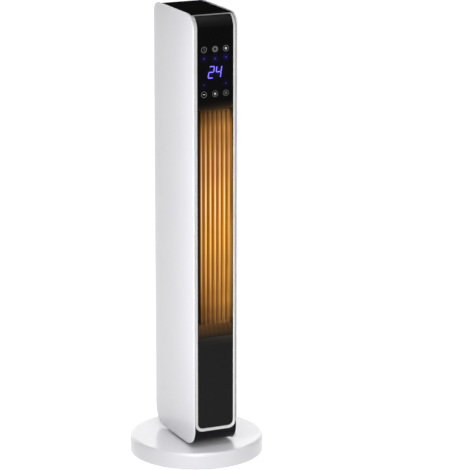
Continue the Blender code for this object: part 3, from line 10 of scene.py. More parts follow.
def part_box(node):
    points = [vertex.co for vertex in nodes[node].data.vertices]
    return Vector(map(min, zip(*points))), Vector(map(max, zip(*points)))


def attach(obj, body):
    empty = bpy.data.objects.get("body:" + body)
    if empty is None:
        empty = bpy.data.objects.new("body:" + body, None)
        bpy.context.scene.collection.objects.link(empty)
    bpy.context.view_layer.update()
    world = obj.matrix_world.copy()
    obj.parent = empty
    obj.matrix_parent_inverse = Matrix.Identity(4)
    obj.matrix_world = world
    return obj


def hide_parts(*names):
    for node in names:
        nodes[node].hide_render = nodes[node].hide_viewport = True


print("loading the frame")
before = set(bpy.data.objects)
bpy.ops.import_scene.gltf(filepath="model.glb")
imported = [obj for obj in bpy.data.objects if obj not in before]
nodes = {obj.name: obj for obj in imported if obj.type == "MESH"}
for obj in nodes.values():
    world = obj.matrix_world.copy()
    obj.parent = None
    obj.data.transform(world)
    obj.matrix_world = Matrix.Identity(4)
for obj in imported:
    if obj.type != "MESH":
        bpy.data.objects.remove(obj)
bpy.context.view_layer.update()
scene = bpy.context.scene
quarter = math.pi / 2

# Sizes of the tower's side outline and of the front panel, shared by what follows
tower = {
    "halfWidth": 0.044,
    "coreHalf": 0.0397,
    "front": -0.086,
    "rear": 0.086,
    "bottom": 0.036,
    "top": 0.813,
    "bottomFront": 0.030,
    "topFront": 0.0265,
    "topRear": 0.0195,
    "bottomRear": 0.035,
}
panel = {
    "inset": 0.0014,
    "edge": 0.00035,
    "outletHalf": 0.0325,
    "outletLow": 0.2364,
    "outletHigh": 0.6474,
    "outletCorner": 0.0018,
}
gap = 0.0003
slatPitch = 0.0089

# Camera at the photograph's angle; focal is in pixels of a frame that is 470 pixels wide
view = {
    "azimuth": -24.507,
    "elevation": 14.6599,
    "distance": 4.7380,
    "across": 0.0693,
    "height": 0.4018,
    "roll": -0.0866,
    "focal": 2662.57,
    "frame": 470,
    "sensor": 36,
    "clipEnd": 100,
}


def aimCamera(settings):
    azimuth, elevation = math.radians(settings["azimuth"]), math.radians(settings["elevation"])
    level = math.cos(elevation)
    forward = Vector((-math.sin(azimuth) * level, math.cos(azimuth) * level, -math.sin(elevation)))
    right = Vector((math.cos(azimuth), math.sin(azimuth), 0))
    up = right.cross(forward)
    place = Vector((0, 0, settings["height"])) + right * settings["across"]
    place -= forward * settings["distance"]
    roll = math.radians(settings["roll"])
    side = right * math.cos(roll) - up * math.sin(roll)
    upward = right * math.sin(roll) + up * math.cos(roll)
    camera = bpy.data.objects.new("camera", bpy.data.cameras.new("camera"))
    scene.collection.objects.link(camera)
    camera.data.sensor_width = settings["sensor"]
    camera.data.lens = settings["focal"] / settings["frame"] * settings["sensor"]
    camera.data.clip_end = settings["clipEnd"]
    turn = Matrix((side, upward, -forward)).transposed().to_4x4()
    camera.matrix_world = Matrix.Translation(place) @ turn
    scene.camera = camera


aimCamera(view)

# Material helpers: each finish starts from a Principled shader and gets nodes for its grain
socketLabels = {
    "coat": "Coat Weight",
    "coatRoughness": "Coat Roughness",
    "specular": "Specular IOR Level",
    "glow": "Emission Strength",
}
noiseSpan = (0.3, 0.7)  # most of a noise lies between these values


def startMaterial(name, colour, roughness, metallic=0.0, **sockets):
    material = bpy.data.materials.new(name)
    material.use_nodes = True
    tree = material.node_tree
    shader = tree.nodes["Principled BSDF"]
    shader.inputs["Base Color"].default_value = (*colour, 1)
    shader.inputs["Roughness"].default_value = roughness
    shader.inputs["Metallic"].default_value = metallic
    for key, value in sockets.items():
        shader.inputs[socketLabels[key]].default_value = value
    return material, tree, shader


def addNode(tree, kind, values=None, **settings):
    # A new node: sockets among the values are linked, other values are stored
    node = tree.nodes.new(kind)
    for key, value in settings.items():
        setattr(node, key, value)
    for key, value in (values or {}).items():
        if isinstance(value, bpy.types.NodeSocket):
            tree.links.new(value, node.inputs[key])
        else:
            node.inputs[key].default_value = value
    return node


def outputOf(tree, kind, values=None, **settings):
    # First output of a new node
    return addNode(tree, kind, values, **settings).outputs[0]


def placeOf(tree, scale=(1, 1, 1), centre=(0, 0, 0)):
    where = addNode(tree, "ShaderNodeTexCoord").outputs["Object"]
    return outputOf(tree, "ShaderNodeMapping", {"Vector": where, "Scale": scale, "Location": centre})


def axesOf(tree):
    # Sockets named X, Y and Z with the place of the shaded point, in metres
    return addNode(tree, "ShaderNodeSeparateXYZ", {"Vector": placeOf(tree)}).outputs


def noiseOf(tree, size, detail=2.0, roughness=0.5, stretch=(1, 1, 1)):
    # size is the width of one blotch in metres
    values = {"Vector": placeOf(tree, stretch), "Scale": 1 / size, "Detail": detail}
    return outputOf(tree, "ShaderNodeTexNoise", {**values, "Roughness": roughness})


def rangeOf(tree, value, low, high, fromLow=0.0, fromHigh=1.0, smooth=False):
    values = {"Value": value, "From Min": fromLow, "From Max": fromHigh, "To Min": low, "To Max": high}
    kind = "SMOOTHSTEP" if smooth else "LINEAR"
    return outputOf(tree, "ShaderNodeMapRange", values, interpolation_type=kind)


def shareOf(tree, value, low, high):
    # 0 at low and 1 at high
    return rangeOf(tree, value, 0, 1, low, high)


def rampOf(tree, value, stops, interpolation="EASE"):
    # stops are (place, colour) pairs, with the place from 0 to 1; a single number is a grey
    ramp = addNode(tree, "ShaderNodeValToRGB", {"Fac": value})
    ramp.color_ramp.interpolation = interpolation
    band = ramp.color_ramp.elements
    while len(band) > 1:
        band.remove(band[-1])
    for number, (place, tone) in enumerate(stops):
        stop = band.new(place) if number else band[0]
        stop.position = place
        stop.color = (*(tone if isinstance(tone, tuple) else (tone,) * 3), 1)
    return ramp.outputs["Color"]


def blendOf(tree, noise, first, second):
    # Drifts from one tone to the other over the middle of a noise
    return rampOf(tree, noise, ((noiseSpan[0], first), (noiseSpan[1], second)))


def mathOf(tree, operation, *values):
    return outputOf(tree, "ShaderNodeMath", dict(enumerate(values)), operation=operation)


def mixOf(tree, factor, first, second, blend="MIX"):
    first, second = [(*part, 1) if isinstance(part, tuple) else part for part in (first, second)]
    values = {0: factor, 6: first, 7: second}
    return addNode(tree, "ShaderNodeMix", values, data_type="RGBA", blend_type=blend).outputs[2]


def timesOf(tree, *colours):
    # Product of two or more colours
    product = colours[0]
    for colour in colours[1:]:
        product = mixOf(tree, 1.0, product, colour, "MULTIPLY")
    return product


def sumOf(tree, first, second):
    return mixOf(tree, 1.0, first, second, "ADD")


def bumpTo(tree, shader, height, distance, strength=1.0):
    values = {"Height": height, "Distance": distance, "Strength": strength}
    feed(tree, shader, "Normal", outputOf(tree, "ShaderNodeBump", values))


def feed(tree, shader, label, value):
    tree.links.new(value, shader.inputs[label])


def driftGloss(tree, shader, noise, gloss, span=noiseSpan):
    # Roughness that wanders between the two values of gloss
    feed(tree, shader, "Roughness", rangeOf(tree, noise, *gloss, *span))


# Finishes of the outside
whitePaint = {
    "roughness": 0.34,
    "gloss": (0.31, 0.36),
    "specular": 0.3,
    "coatRoughness": 0.04,
    "cool": (0.988, 0.985, 1.007),
    "warm": (1.012, 1.009, 1.021),
    "patchSize": 0.11,
    "wipeSize": 0.02,
    "peelSize": 0.0022,
    "peelDepth": 0.000003,
    "peelStrength": 0.4,
    # heights over which the painted shade on the base's side gives way to its top
    "sideShadeHeights": (0.0262, 0.0316),
}
rimPaint = {
    "tone": (0.75, 0.75, 0.76),
    "roughness": 0.5,
    "gloss": (0.46, 0.54),
    "specular": 0.2,
    "cool": (0.97, 0.97, 0.985),
    "warm": (1.0, 1.0, 1.01),
    "patchSize": 0.05,
    "peelSize": 0.002,
    # painted shade on the rim: its tone on the left and on the right, and what is left of it along the top
    "rimSideShades": (0.66, 0.90),
    "sides": (-0.03, 0.03),
    "topShade": 0.70,
    "topShadeHeights": (0.785, 0.808),
}
silver = {
    "tone": (0.55, 0.55, 0.54),
    "roughness": 0.32,
    "gloss": (0.24, 0.38),
    "metallic": 0.3,
    "coat": 0.4,
    "coatRoughness": 0.10,
    "flakesPerMetre": 3500.0,
    "flakeTones": ((0, (0.53, 0.53, 0.52)), (1, (0.62, 0.62, 0.61))),
    "flakeDepth": 0.000006,
    # painted light across the trim from its left edge to the right one: lighter towards the right, a
    # painted highlight line near the right edge and painted shade in the groove beyond it; and what is
    # left of it along the top line, in painted shade
    "across": (
        (0.0, 0.96),
        (0.50, 1.02),
        (0.90, 1.12),
        (0.932, 1.42),
        (0.951, 1.42),
        (0.965, (0.84, 0.84, 0.85)),
        (1.0, (0.80, 0.80, 0.81)),
    ),
    "topShade": 0.36,
    "topShadeHeights": (0.796, 0.810),
}


def whiteGloss(name, tone, coat, sideShade=1.0):
    # Moulded white: faint orange peel, gloss that drifts, cooler patches; the last argument is painted
    # shade that dims the base's side
    paint = whitePaint
    material, tree, shader = startMaterial(
        name,
        tone,
        paint["roughness"],
        coat=coat,
        coatRoughness=paint["coatRoughness"],
        specular=paint["specular"],
    )
    at = axesOf(tree)
    cool, warm = [
        tuple(part * share for part, share in zip(tone, paint[drift])) for drift in ("cool", "warm")
    ]
    patches = blendOf(tree, noiseOf(tree, paint["patchSize"], 3.0), cool, warm)
    # Painted shade: the base's side is darker than its top
    level = rangeOf(tree, at["Z"], sideShade, 1.0, *paint["sideShadeHeights"], smooth=True)
    feed(tree, shader, "Base Color", timesOf(tree, patches, level))
    driftGloss(tree, shader, noiseOf(tree, paint["wipeSize"], 4.0, 0.6), paint["gloss"])
    bumpTo(tree, shader, noiseOf(tree, paint["peelSize"], 1.0), paint["peelDepth"], paint["peelStrength"])
    return material


def shadedWhiteRim():
    # Satin rim of the shells, with painted shade that makes it darker along the top and on the left
    paint = rimPaint
    material, tree, shader = startMaterial(
        "white satin rim, painted shade", paint["tone"], paint["roughness"], specular=paint["specular"]
    )
    at = axesOf(tree)
    # Painted shade: darker on the left and along the top
    side = rangeOf(tree, at["X"], *paint["rimSideShades"], *paint["sides"])
    upper = rangeOf(tree, at["Z"], 1.0, paint["topShade"], *paint["topShadeHeights"], smooth=True)
    patches = blendOf(tree, noiseOf(tree, paint["patchSize"], 3.0), paint["cool"], paint["warm"])
    feed(tree, shader, "Base Color", timesOf(tree, patches, mathOf(tree, "MULTIPLY", side, upper)))
    driftGloss(tree, shader, noiseOf(tree, whitePaint["wipeSize"], 4.0, 0.6), paint["gloss"])
    peel = noiseOf(tree, paint["peelSize"], 1.0)
    bumpTo(tree, shader, peel, whitePaint["peelDepth"], whitePaint["peelStrength"])
    return material


def silverPaint():
    # Sprayed silver: metal flake under a clear coat, with painted light that makes it lighter towards the
    # right and painted shade that greys it along the top line
    material, tree, shader = startMaterial(
        "silver paint",
        silver["tone"],
        silver["roughness"],
        silver["metallic"],
        coat=silver["coat"],
        coatRoughness=silver["coatRoughness"],
    )
    flake = {"Vector": placeOf(tree), "Scale": silver["flakesPerMetre"], "Randomness": 1.0}
    flake = addNode(tree, "ShaderNodeTexVoronoi", flake).outputs["Color"]
    tone = addNode(tree, "ShaderNodeSeparateColor", {"Color": flake}).outputs
    flakes = rampOf(tree, tone[0], silver["flakeTones"])
    at = axesOf(tree)
    # Painted light across the trim, painted shade along its top line
    across = shareOf(tree, at["X"], -tower["coreHalf"], tower["coreHalf"])
    across = rampOf(tree, across, silver["across"], "LINEAR")
    upper = rangeOf(tree, at["Z"], 1.0, silver["topShade"], *silver["topShadeHeights"], smooth=True)
    feed(tree, shader, "Base Color", timesOf(tree, flakes, across, upper))
    driftGloss(tree, shader, tone[1], silver["gloss"], (0, 1))
    bumpTo(tree, shader, tone[2], silver["flakeDepth"], 0.4)
    return material


# Figures and lamps of the display, on the flat of the front
display = {
    "figures": ("2", "4"),
    "centres": (-0.0078, 0.0061),
    "middle": 0.7121,
    "width": 0.0108,
    "height": 0.0214,
    "stroke": 0.0016,
    "strokeGap": 0.00012,
    "slant": math.tan(math.radians(8)),
    "proud": 0.00008,
    "lampRadius": 0.0010,
    "lampProud": 0.00004,
}
halo = {
    # (x, z, reach, strength) of each soft violet patch behind the black front
    "patches": (
        (-0.0078, 0.7121, 0.0064, 0.050),
        (0.0061, 0.7121, 0.0064, 0.050),
        (-0.0215, 0.7366, 0.0050, 0.048),
        (-0.0005, 0.7354, 0.0055, 0.056),
        (0.0200, 0.7369, 0.0050, 0.080),
        (-0.0215, 0.6906, 0.0060, 0.016),
        (0.0200, 0.6909, 0.0055, 0.020),
        (0.0, 0.7134, 0.0240, 0.003),
    ),
    "lamps": slice(2, 5),
    "dimLamps": slice(5, 7),
    "colour": (0.10, 0.05, 1.0),
    "falloff": -1.2,
}
spill = {
    # heights of the warm light above and below the outlet, and colours at shares of each range
    "aboveRange": (0.6314, 0.6614),
    "above": (
        (0.50, 0),
        (0.53, (0.038, 0.020, 0.005)),
        (0.67, (0.014, 0.008, 0.003)),
        (0.82, (0.005, 0.003, 0.002)),
        (1.0, 0),
    ),
    "belowRange": (0.2194, 0.2534),
    "below": ((0.0, 0), (0.22, (0.006, 0.004, 0.002)), (0.5, (0.018, 0.013, 0.009)), (0.55, 0)),
    "leftRight": (0.45, 1.45),
    "strip": (
        (0.0, 0),
        (0.03, (0.012, 0.008, 0.003)),
        (0.15, (0.11, 0.060, 0.018)),
        (0.40, (0.25, 0.130, 0.034)),
        (0.75, (0.24, 0.120, 0.032)),
        (0.96, (0.06, 0.030, 0.010)),
        (1.0, 0),
    ),
    "stripSoft": 0.0002,
}
blackPaint = {
    "tone": (0.0030, 0.0030, 0.0034),
    "roughness": 0.12,
    "gloss": (0.07, 0.16),
    "specular": 0.10,
    "hazeSize": 0.03,
    "peelSize": 0.004,
    "peelDepth": 0.000004,
    # only the front face glows, not the edges behind it
    "face": (-0.0842, -0.0836),
    # painted light by height: painted sheen makes it charcoal below the outlet and on the curve under the
    # top line, painted shade makes it deepest round the touch keys
    "paintedLightByHeight": (
        (0.0, (0.0070, 0.0072, 0.0072)),
        (0.30, (0.0070, 0.0072, 0.0072)),
        (0.78, (0.0005, 0.0005, 0.0006)),
        (0.968, (0.0005, 0.0005, 0.0006)),
        (0.990, (0.0120, 0.0120, 0.0124)),
        (1.0, (0.0120, 0.0120, 0.0124)),
    ),
}


def haloOf(tree):
    # Sum of the fading violet patches
    total = None
    for x, z, reach, strength in halo["patches"]:
        place = placeOf(tree, (1 / reach, 0, 1 / reach), (-x / reach, 0, -z / reach))
        length = addNode(tree, "ShaderNodeVectorMath", {0: place}, operation="LENGTH")
        square = mathOf(tree, "POWER", length.outputs["Value"], 2)
        fading = mathOf(tree, "EXPONENT", mathOf(tree, "MULTIPLY", square, halo["falloff"]))
        fading = mathOf(tree, "MULTIPLY", fading, strength)
        total = fading if total is None else mathOf(tree, "ADD", total, fading)
    return total


def pianoBlack():
    # Deep black gloss with the display's violet light showing through near the figures
    material, tree, shader = startMaterial(
        "black gloss panel",
        blackPaint["tone"],
        blackPaint["roughness"],
        specular=blackPaint["specular"],
        glow=1.0,
    )
    driftGloss(tree, shader, noiseOf(tree, blackPaint["hazeSize"], 5.0, 0.65), blackPaint["gloss"])
    bumpTo(tree, shader, noiseOf(tree, blackPaint["peelSize"], 1.0), blackPaint["peelDepth"], 0.4)
    at = axesOf(tree)
    front = rangeOf(tree, at["Y"], 1, 0, *blackPaint["face"])
    violet = timesOf(tree, halo["colour"], mathOf(tree, "MULTIPLY", haloOf(tree), front))
    # Warm light that spills over the panel just above and below the outlet
    above = rampOf(tree, shareOf(tree, at["Z"], *spill["aboveRange"]), spill["above"])
    below = rampOf(tree, shareOf(tree, at["Z"], *spill["belowRange"]), spill["below"])
    half = panel["outletHalf"]
    across = rangeOf(tree, at["X"], *spill["leftRight"], -half, half)
    warm = timesOf(tree, sumOf(tree, above, below), mathOf(tree, "MULTIPLY", across, front))
    # The narrow strip to the right of the outlet catches the light along the slats
    strip = rampOf(tree, shareOf(tree, at["Z"], panel["outletLow"], panel["outletHigh"]), spill["strip"])
    beside = shareOf(tree, at["X"], half - spill["stripSoft"], half + spill["stripSoft"])
    strip = timesOf(tree, strip, mathOf(tree, "MULTIPLY", beside, front))
    feed(tree, shader, "Emission Color", sumOf(tree, violet, sumOf(tree, warm, strip)))
    # Painted sheen low down and on the top curve, painted shade round the touch keys
    tone = rampOf(tree, shareOf(tree, at["Z"], 0, tower["top"]), blackPaint["paintedLightByHeight"])
    feed(tree, shader, "Base Color", tone)
    return material


# Settings of the moulded black plastic and of the plain finishes inside
moulded = {"patchSize": 0.06, "light": 1.25, "hazeSize": 0.015, "gloss": (-0.05, 0.07), "relief": 0.6}
plain = {"patchSize": 0.03, "dark": 0.86, "hazeSize": 0.006, "gloss": (-0.08, 0.08), "relief": 0.6}


def shaded(colour, share):
    return tuple(min(1.0, part * share) for part in colour)


def glossNear(roughness, gloss):
    return tuple(min(1.0, max(0.05, roughness + change)) for change in gloss)


def lowerBlack(name, colour, roughness, grain, depth, **sockets):
    # Moulded black plastic with a fine grain
    material, tree, shader = startMaterial(name, colour, roughness, **sockets)
    patches = noiseOf(tree, moulded["patchSize"], 3.0)
    feed(tree, shader, "Base Color", blendOf(tree, patches, colour, shaded(colour, moulded["light"])))
    haze = noiseOf(tree, moulded["hazeSize"], 4.0)
    driftGloss(tree, shader, haze, glossNear(roughness, moulded["gloss"]))
    bumpTo(tree, shader, noiseOf(tree, grain, 2.0), depth, moulded["relief"])
    return material


# Glow of the outlet: where the warm light starts and ends, and its colours at shares of the way
glow = {
    "heights": (0.2564, 0.6431),
    "depths": (-0.0759, -0.0649),
    # painted glow along the front edge of each slat, as a painted highlight, and down its sides
    "edge": (
        (0.0, (0.13, 0.060, 0.020)),
        (0.05, (0.24, 0.11, 0.030)),
        (0.12, (0.46, 0.22, 0.056)),
        (0.26, (0.76, 0.40, 0.11)),
        (0.39, (0.98, 0.56, 0.15)),
        (0.575, (1.10, 0.67, 0.26)),
        (0.76, (0.86, 0.46, 0.20)),
        (0.895, (0.54, 0.27, 0.080)),
        (0.975, (0.18, 0.090, 0.024)),
        (1.0, (0.060, 0.030, 0.010)),
    ),
    "side": (
        (0.0, (0.100, 0.042, 0.013)),
        (0.05, (0.175, 0.063, 0.010)),
        (0.12, (0.26, 0.092, 0.010)),
        (0.26, (0.32, 0.112, 0.010)),
        (0.39, (0.36, 0.118, 0.006)),
        (0.575, (0.32, 0.100, 0.003)),
        (0.76, (0.28, 0.094, 0.010)),
        (0.895, (0.25, 0.088, 0.013)),
        (0.975, (0.120, 0.052, 0.013)),
        (1.0, (0.045, 0.022, 0.008)),
    ),
    "blotchTones": ((0.32, (0.80, 0.76, 0.6)), (0.68, (1.2, 1.22, 1.3))),
    # from the left of the outlet to its right: the first flank stays in shade
    "across": (
        (0.0, (0.10, 0.07, 0.02)),
        (0.143, (0.10, 0.07, 0.02)),
        (0.22, (0.70, 0.66, 0.6)),
        (0.6, 1.0),
        (0.88, (1.35, 1.5, 1.6)),
        (1.0, (1.2, 1.3, 1.4)),
    ),
    # painted shade: the left stile and the left side of the first slat stay dark, the right stile is a
    # little dimmer than the slats
    "ends": (
        (0.0, (0.07, 0.04, 0.01)),
        (0.128, (0.07, 0.04, 0.01)),
        (0.154, 1),
        (0.92, 1),
        (0.94, (0.85, 0.78, 0.65)),
        (1.0, (0.85, 0.78, 0.65)),
    ),
    # at the top and the foot of the outlet the light leans to the right
    "lean": ((0.1, 0.62), (0.5, 0.96), (0.9, 1.34)),
    "leanHeights": ((0.06, 1), (0.20, 0), (0.86, 0), (0.95, 1)),
    "tip": ((0.0, 1), (0.14, 0.92), (0.30, 0.22), (0.5, 0)),
    "blotchSize": 0.045,
    "brushSize": 0.006,
    "gloss": (0.38, 0.52),
}
wall = {
    "tone": (0.006, 0.005, 0.005),
    "warm": (
        (0.0, (0.045, 0.025, 0.012)),
        (0.05, (0.15, 0.070, 0.019)),
        (0.12, (0.26, 0.125, 0.025)),
        (0.30, (0.38, 0.185, 0.048)),
        (0.42, (0.42, 0.205, 0.038)),
        (0.575, (0.26, 0.105, 0.012)),
        (0.80, (0.32, 0.150, 0.030)),
        (0.92, (0.30, 0.120, 0.022)),
        (0.98, (0.075, 0.038, 0.010)),
        (1.0, (0.022, 0.012, 0.005)),
    ),
    # the sloping sill's painted glow is brightest at the foot of the slats, with faint streaks of painted
    # reflection that carry the slats on
    "sill": ((0.0, (0.030, 0.016, 0.006)), (0.5, (0.066, 0.032, 0.009)), (1.0, (0.105, 0.044, 0.010))),
    "slatReflections": (1.12, 0.88),
    "sillSoft": 0.001,
    "depths": (-0.0830, -0.0700),
    "near": ((0.0, 0.7), (0.45, 0.85), (1.0, 1)),
    "rim": (0.0320, 0.0336),
    "inside": ((0.0, 1), (0.4, 1), (0.7, 0)),
    # the end of the heater beside the left wall stays in shade
    "shade": (0.12, 1.0),
    "shadeSides": (-0.0172, -0.0150),
    "hazeSize": 0.02,
    "gloss": (0.10, 0.20),
}
hot = {
    "hazeSize": 0.008,
    "gloss": (0.35, 0.55),
    "grainSize": 0.0012,
    "grainDepth": 0.00003,
    "relief": 0.5,
}


def glowAlong(tree, height, stops):
    # Colour of the warm light at this height
    return rampOf(tree, shareOf(tree, height, *glow["heights"]), stops)


def goldSlats():
    # Slats with painted glow, dark brown under it: a painted highlight pale along the front edge and
    # painted amber light down the sides, standing in for the light from behind
    tone = (0.030, 0.014, 0.004)
    material, tree, shader = startMaterial("gold slats", tone, 0.45, specular=0.15, glow=1.0)
    at = axesOf(tree)
    across = shareOf(tree, at["X"], -panel["outletHalf"], panel["outletHalf"])
    blotch = noiseOf(tree, glow["blotchSize"], 3.0, 0.6, (1.6, 1, 0.7))
    lean = rampOf(tree, across, glow["lean"], "LINEAR")
    lean = mixOf(tree, glowAlong(tree, at["Z"], glow["leanHeights"]), (1.0, 1.0, 1.0), lean)
    ends = rampOf(tree, across, glow["ends"], "LINEAR")
    # Painted highlight along the front edges, painted glow down the sides
    edge = timesOf(tree, glowAlong(tree, at["Z"], glow["edge"]), ends, lean)
    flank = rampOf(tree, across, glow["across"], "LINEAR")
    side = glowAlong(tree, at["Z"], glow["side"])
    side = timesOf(tree, side, rampOf(tree, blotch, glow["blotchTones"]), flank, lean)
    tip = rampOf(tree, shareOf(tree, at["Y"], *glow["depths"]), glow["tip"])
    feed(tree, shader, "Emission Color", mixOf(tree, tip, side, edge))
    brushed = noiseOf(tree, glow["brushSize"], 3.0, 0.5, (1, 1, 0.1))
    driftGloss(tree, shader, brushed, glow["gloss"], (0, 1))
    return material


def warmBlack():
    # The outlet's black walls, which pick up the warm light near the slats
    material, tree, shader = startMaterial(
        "warm black walls", wall["tone"], 0.16, specular=0.10, glow=1.0
    )
    at = axesOf(tree)
    foot = glow["heights"][0]
    sill = rampOf(tree, shareOf(tree, at["Z"], panel["outletLow"], foot), wall["sill"])
    # Painted reflection of the slats: streaks at the slat pitch
    wave = mathOf(tree, "COSINE", mathOf(tree, "MULTIPLY", at["X"], 2 * math.pi / slatPitch))
    sill = timesOf(tree, sill, rangeOf(tree, wave, *wall["slatReflections"], -1, 1))
    onSill = rangeOf(tree, at["Z"], 1, 0, foot, foot + wall["sillSoft"])
    warm = mixOf(tree, onSill, glowAlong(tree, at["Z"], wall["warm"]), sill)
    near = rampOf(tree, shareOf(tree, at["Y"], *wall["depths"]), wall["near"])
    inside = rampOf(tree, shareOf(tree, mathOf(tree, "ABSOLUTE", at["X"]), *wall["rim"]), wall["inside"])
    feed(tree, shader, "Emission Color", timesOf(tree, warm, near, inside))
    driftGloss(tree, shader, noiseOf(tree, wall["hazeSize"], 4.0), wall["gloss"], (0, 1))
    return material


def hotMetal(name, colour, stops, metallic=0.8):
    # Fins and frame behind the slats, glowing in the middle of the outlet
    material, tree, shader = startMaterial(name, colour, 0.45, metallic, specular=0.2, glow=1.0)
    at = axesOf(tree)
    shade = rangeOf(tree, at["X"], *wall["shade"], *wall["shadeSides"])
    feed(tree, shader, "Emission Color", timesOf(tree, glowAlong(tree, at["Z"], stops), shade))
    driftGloss(tree, shader, noiseOf(tree, hot["hazeSize"], 4.0), hot["gloss"], (0, 1))
    bumpTo(tree, shader, noiseOf(tree, hot["grainSize"], 2.0), hot["grainDepth"], hot["relief"])
    return material


def plainFinish(
    name, colour, roughness, metallic=0.0, grain=0.0012, depth=0.00002, stretch=(1, 1, 1), **sockets
):
    # Inner parts: colour drift, uneven gloss and a grain of the right size
    material, tree, shader = startMaterial(name, colour, roughness, metallic, **sockets)
    patches = noiseOf(tree, plain["patchSize"], 4.0)
    feed(tree, shader, "Base Color", blendOf(tree, patches, shaded(colour, plain["dark"]), colour))
    haze = noiseOf(tree, plain["hazeSize"], 3.0, 0.6, stretch)
    driftGloss(tree, shader, haze, glossNear(roughness, plain["gloss"]))
    bumpTo(tree, shader, noiseOf(tree, grain, 3.0, 0.6, stretch), depth, plain["relief"])
    return material


board = {
    "tone": (0.02, 0.13, 0.06),
    "cellsPerMetre": 420.0,
    "tracks": {
        "Color1": (0.012, 0.10, 0.045, 1),
        "Color2": (0.02, 0.15, 0.07, 1),
        "Mortar": (0.05, 0.24, 0.11, 1),
        "Scale": 90.0,
        "Mortar Size": 0.03,
        "Row Height": 0.31,
    },
    "pads": ((0.0, 1), (0.14, 1), (0.18, 0)),
    "padTone": (0.62, 0.60, 0.52),
}


def circuitBoard():
    # Green lacquer over copper tracks: a grid of cells gives the traces and pads
    material, tree, shader = startMaterial("circuit board", board["tone"], 0.35, coat=0.3)
    cells = {"Vector": placeOf(tree), "Scale": board["cellsPerMetre"], "Randomness": 0.55}
    cells = outputOf(tree, "ShaderNodeTexVoronoi", cells, distance="MANHATTAN")
    turned = {"Vector": placeOf(tree), "Rotation": (quarter, 0, 0)}
    turned = outputOf(tree, "ShaderNodeMapping", turned)
    tracks = outputOf(tree, "ShaderNodeTexBrick", {"Vector": turned, **board["tracks"]})
    pad = rampOf(tree, cells, board["pads"], "LINEAR")
    feed(tree, shader, "Base Color", mixOf(tree, pad, tracks, board["padTone"]))
    feed(tree, shader, "Metallic", rangeOf(tree, pad, 0.0, 0.8))
    return material


lit = {"tone": (0.02, 0.01, 0.05), "roughness": 0.3, "patchSize": 0.0035, "bright": 1.15}


def lightFinish(name, colour, strength):
    # Lit figures: each stroke is a little brighter in patches
    material, tree, shader = startMaterial(name, lit["tone"], lit["roughness"], glow=strength)
    stops = ((0.35, colour), (0.65, shaded(colour, lit["bright"])))
    patches = rampOf(tree, noiseOf(tree, lit["patchSize"], 1.0), stops)
    feed(tree, shader, "Emission Color", patches)
    return material


print("making the materials")
hotTones = {
    # colours of the painted glow of the fins and of the frame round them, from the foot of the outlet to
    # its top
    "fins": (
        (0.0, (0.100, 0.042, 0.012)),
        (0.12, (0.19, 0.062, 0.006)),
        (0.40, (0.30, 0.088, 0.003)),
        (0.60, (0.29, 0.080, 0.003)),
        (0.90, (0.20, 0.065, 0.010)),
        (1.0, (0.02, 0.009, 0.003)),
    ),
    "frame": (
        (0.0, (0.080, 0.034, 0.010)),
        (0.12, (0.16, 0.050, 0.005)),
        (0.40, (0.25, 0.072, 0.003)),
        (0.60, (0.24, 0.068, 0.003)),
        (0.90, (0.16, 0.052, 0.008)),
        (1.0, (0.02, 0.008, 0.003)),
    ),
}
finish = {
    "white": whiteGloss("white moulded gloss", (0.66, 0.66, 0.68), 1.0),
    # The base's white: its last value is painted shade that dims its side
    "baseWhite": whiteGloss("white base gloss", (0.76, 0.76, 0.775), 0.78, 0.87),
    "shadedWhiteRim": shadedWhiteRim(),
    "silver": silverPaint(),
    "pianoBlack": pianoBlack(),
    "satinBlack": lowerBlack("grained black plastic", (0.020, 0.020, 0.021), 0.42, 0.0007, 0.00003),
    "chinBlack": lowerBlack(
        "chin black gloss", (0.004, 0.004, 0.0055), 0.16, 0.003, 0.000004, specular=0.10
    ),
    "topBlack": lowerBlack(
        "top black gloss", (0.0035, 0.0035, 0.0037), 0.22, 0.0016, 0.00001, specular=0.0
    ),
    "gold": goldSlats(),
    "warmBlack": warmBlack(),
    "fins": hotMetal("glowing fins", (0.06, 0.030, 0.012), hotTones["fins"]),
    "heaterFrame": hotMetal("heater frame", (0.03, 0.018, 0.010), hotTones["frame"], 0.0),
    "rubber": plainFinish("foot rubber", (0.035, 0.035, 0.036), 0.78, grain=0.0006, depth=0.00004),
    "steel": plainFinish(
        "zinc plated steel", (0.62, 0.62, 0.64), 0.34, 1.0, grain=0.0015, stretch=(1, 1, 0.1)
    ),
    "motorSteel": plainFinish("motor steel", (0.50, 0.50, 0.51), 0.42, 1.0, grain=0.004, depth=0.00001),
    "iron": plainFinish("cast iron", (0.09, 0.09, 0.095), 0.62, 0.6, grain=0.0009, depth=0.00012),
    "grey": plainFinish("grey plastic", (0.27, 0.27, 0.28), 0.50),
    "natural": plainFinish("natural nylon", (0.80, 0.78, 0.70), 0.42),
    "bronze": plainFinish("sintered bronze", (0.42, 0.26, 0.12), 0.48, 0.9, grain=0.0005, depth=0.00003),
    "board": circuitBoard(),
    "lens": plainFinish("display lens", (0.05, 0.03, 0.12), 0.18, grain=0.01, depth=0.000002),
    "mesh": plainFinish("filter plastic", (0.030, 0.030, 0.032), 0.55),
    "print": plainFinish("grey key print", (0.085, 0.085, 0.085), 0.55, grain=0.0003, depth=0.000005),
    "brightPrint": plainFinish("pale key print", (0.55, 0.55, 0.55), 0.5, grain=0.0003, depth=0.000005),
    "figures": lightFinish("violet figures", (0.17, 0.13, 1.0), 1.75),
    "lamp": lightFinish("violet lamps", (0.10, 0.07, 0.40), 0.45),
    "dimLamp": lightFinish("dim violet lamps", (0.10, 0.08, 0.28), 0.20),
}


# Outline of the tower as a path: s = 0 under the front corner, then up the front and over the top
def pathMarks():
    first = tower["bottomFront"] * quarter
    second = first + (tower["top"] - tower["topFront"]) - (tower["bottom"] + tower["bottomFront"])
    third = second + tower["topFront"] * quarter
    fourth = third + (tower["rear"] - tower["topRear"]) - (tower["front"] + tower["topFront"])
    return first, second, third, fourth, fourth + tower["topRear"] * quarter


marks = pathMarks()


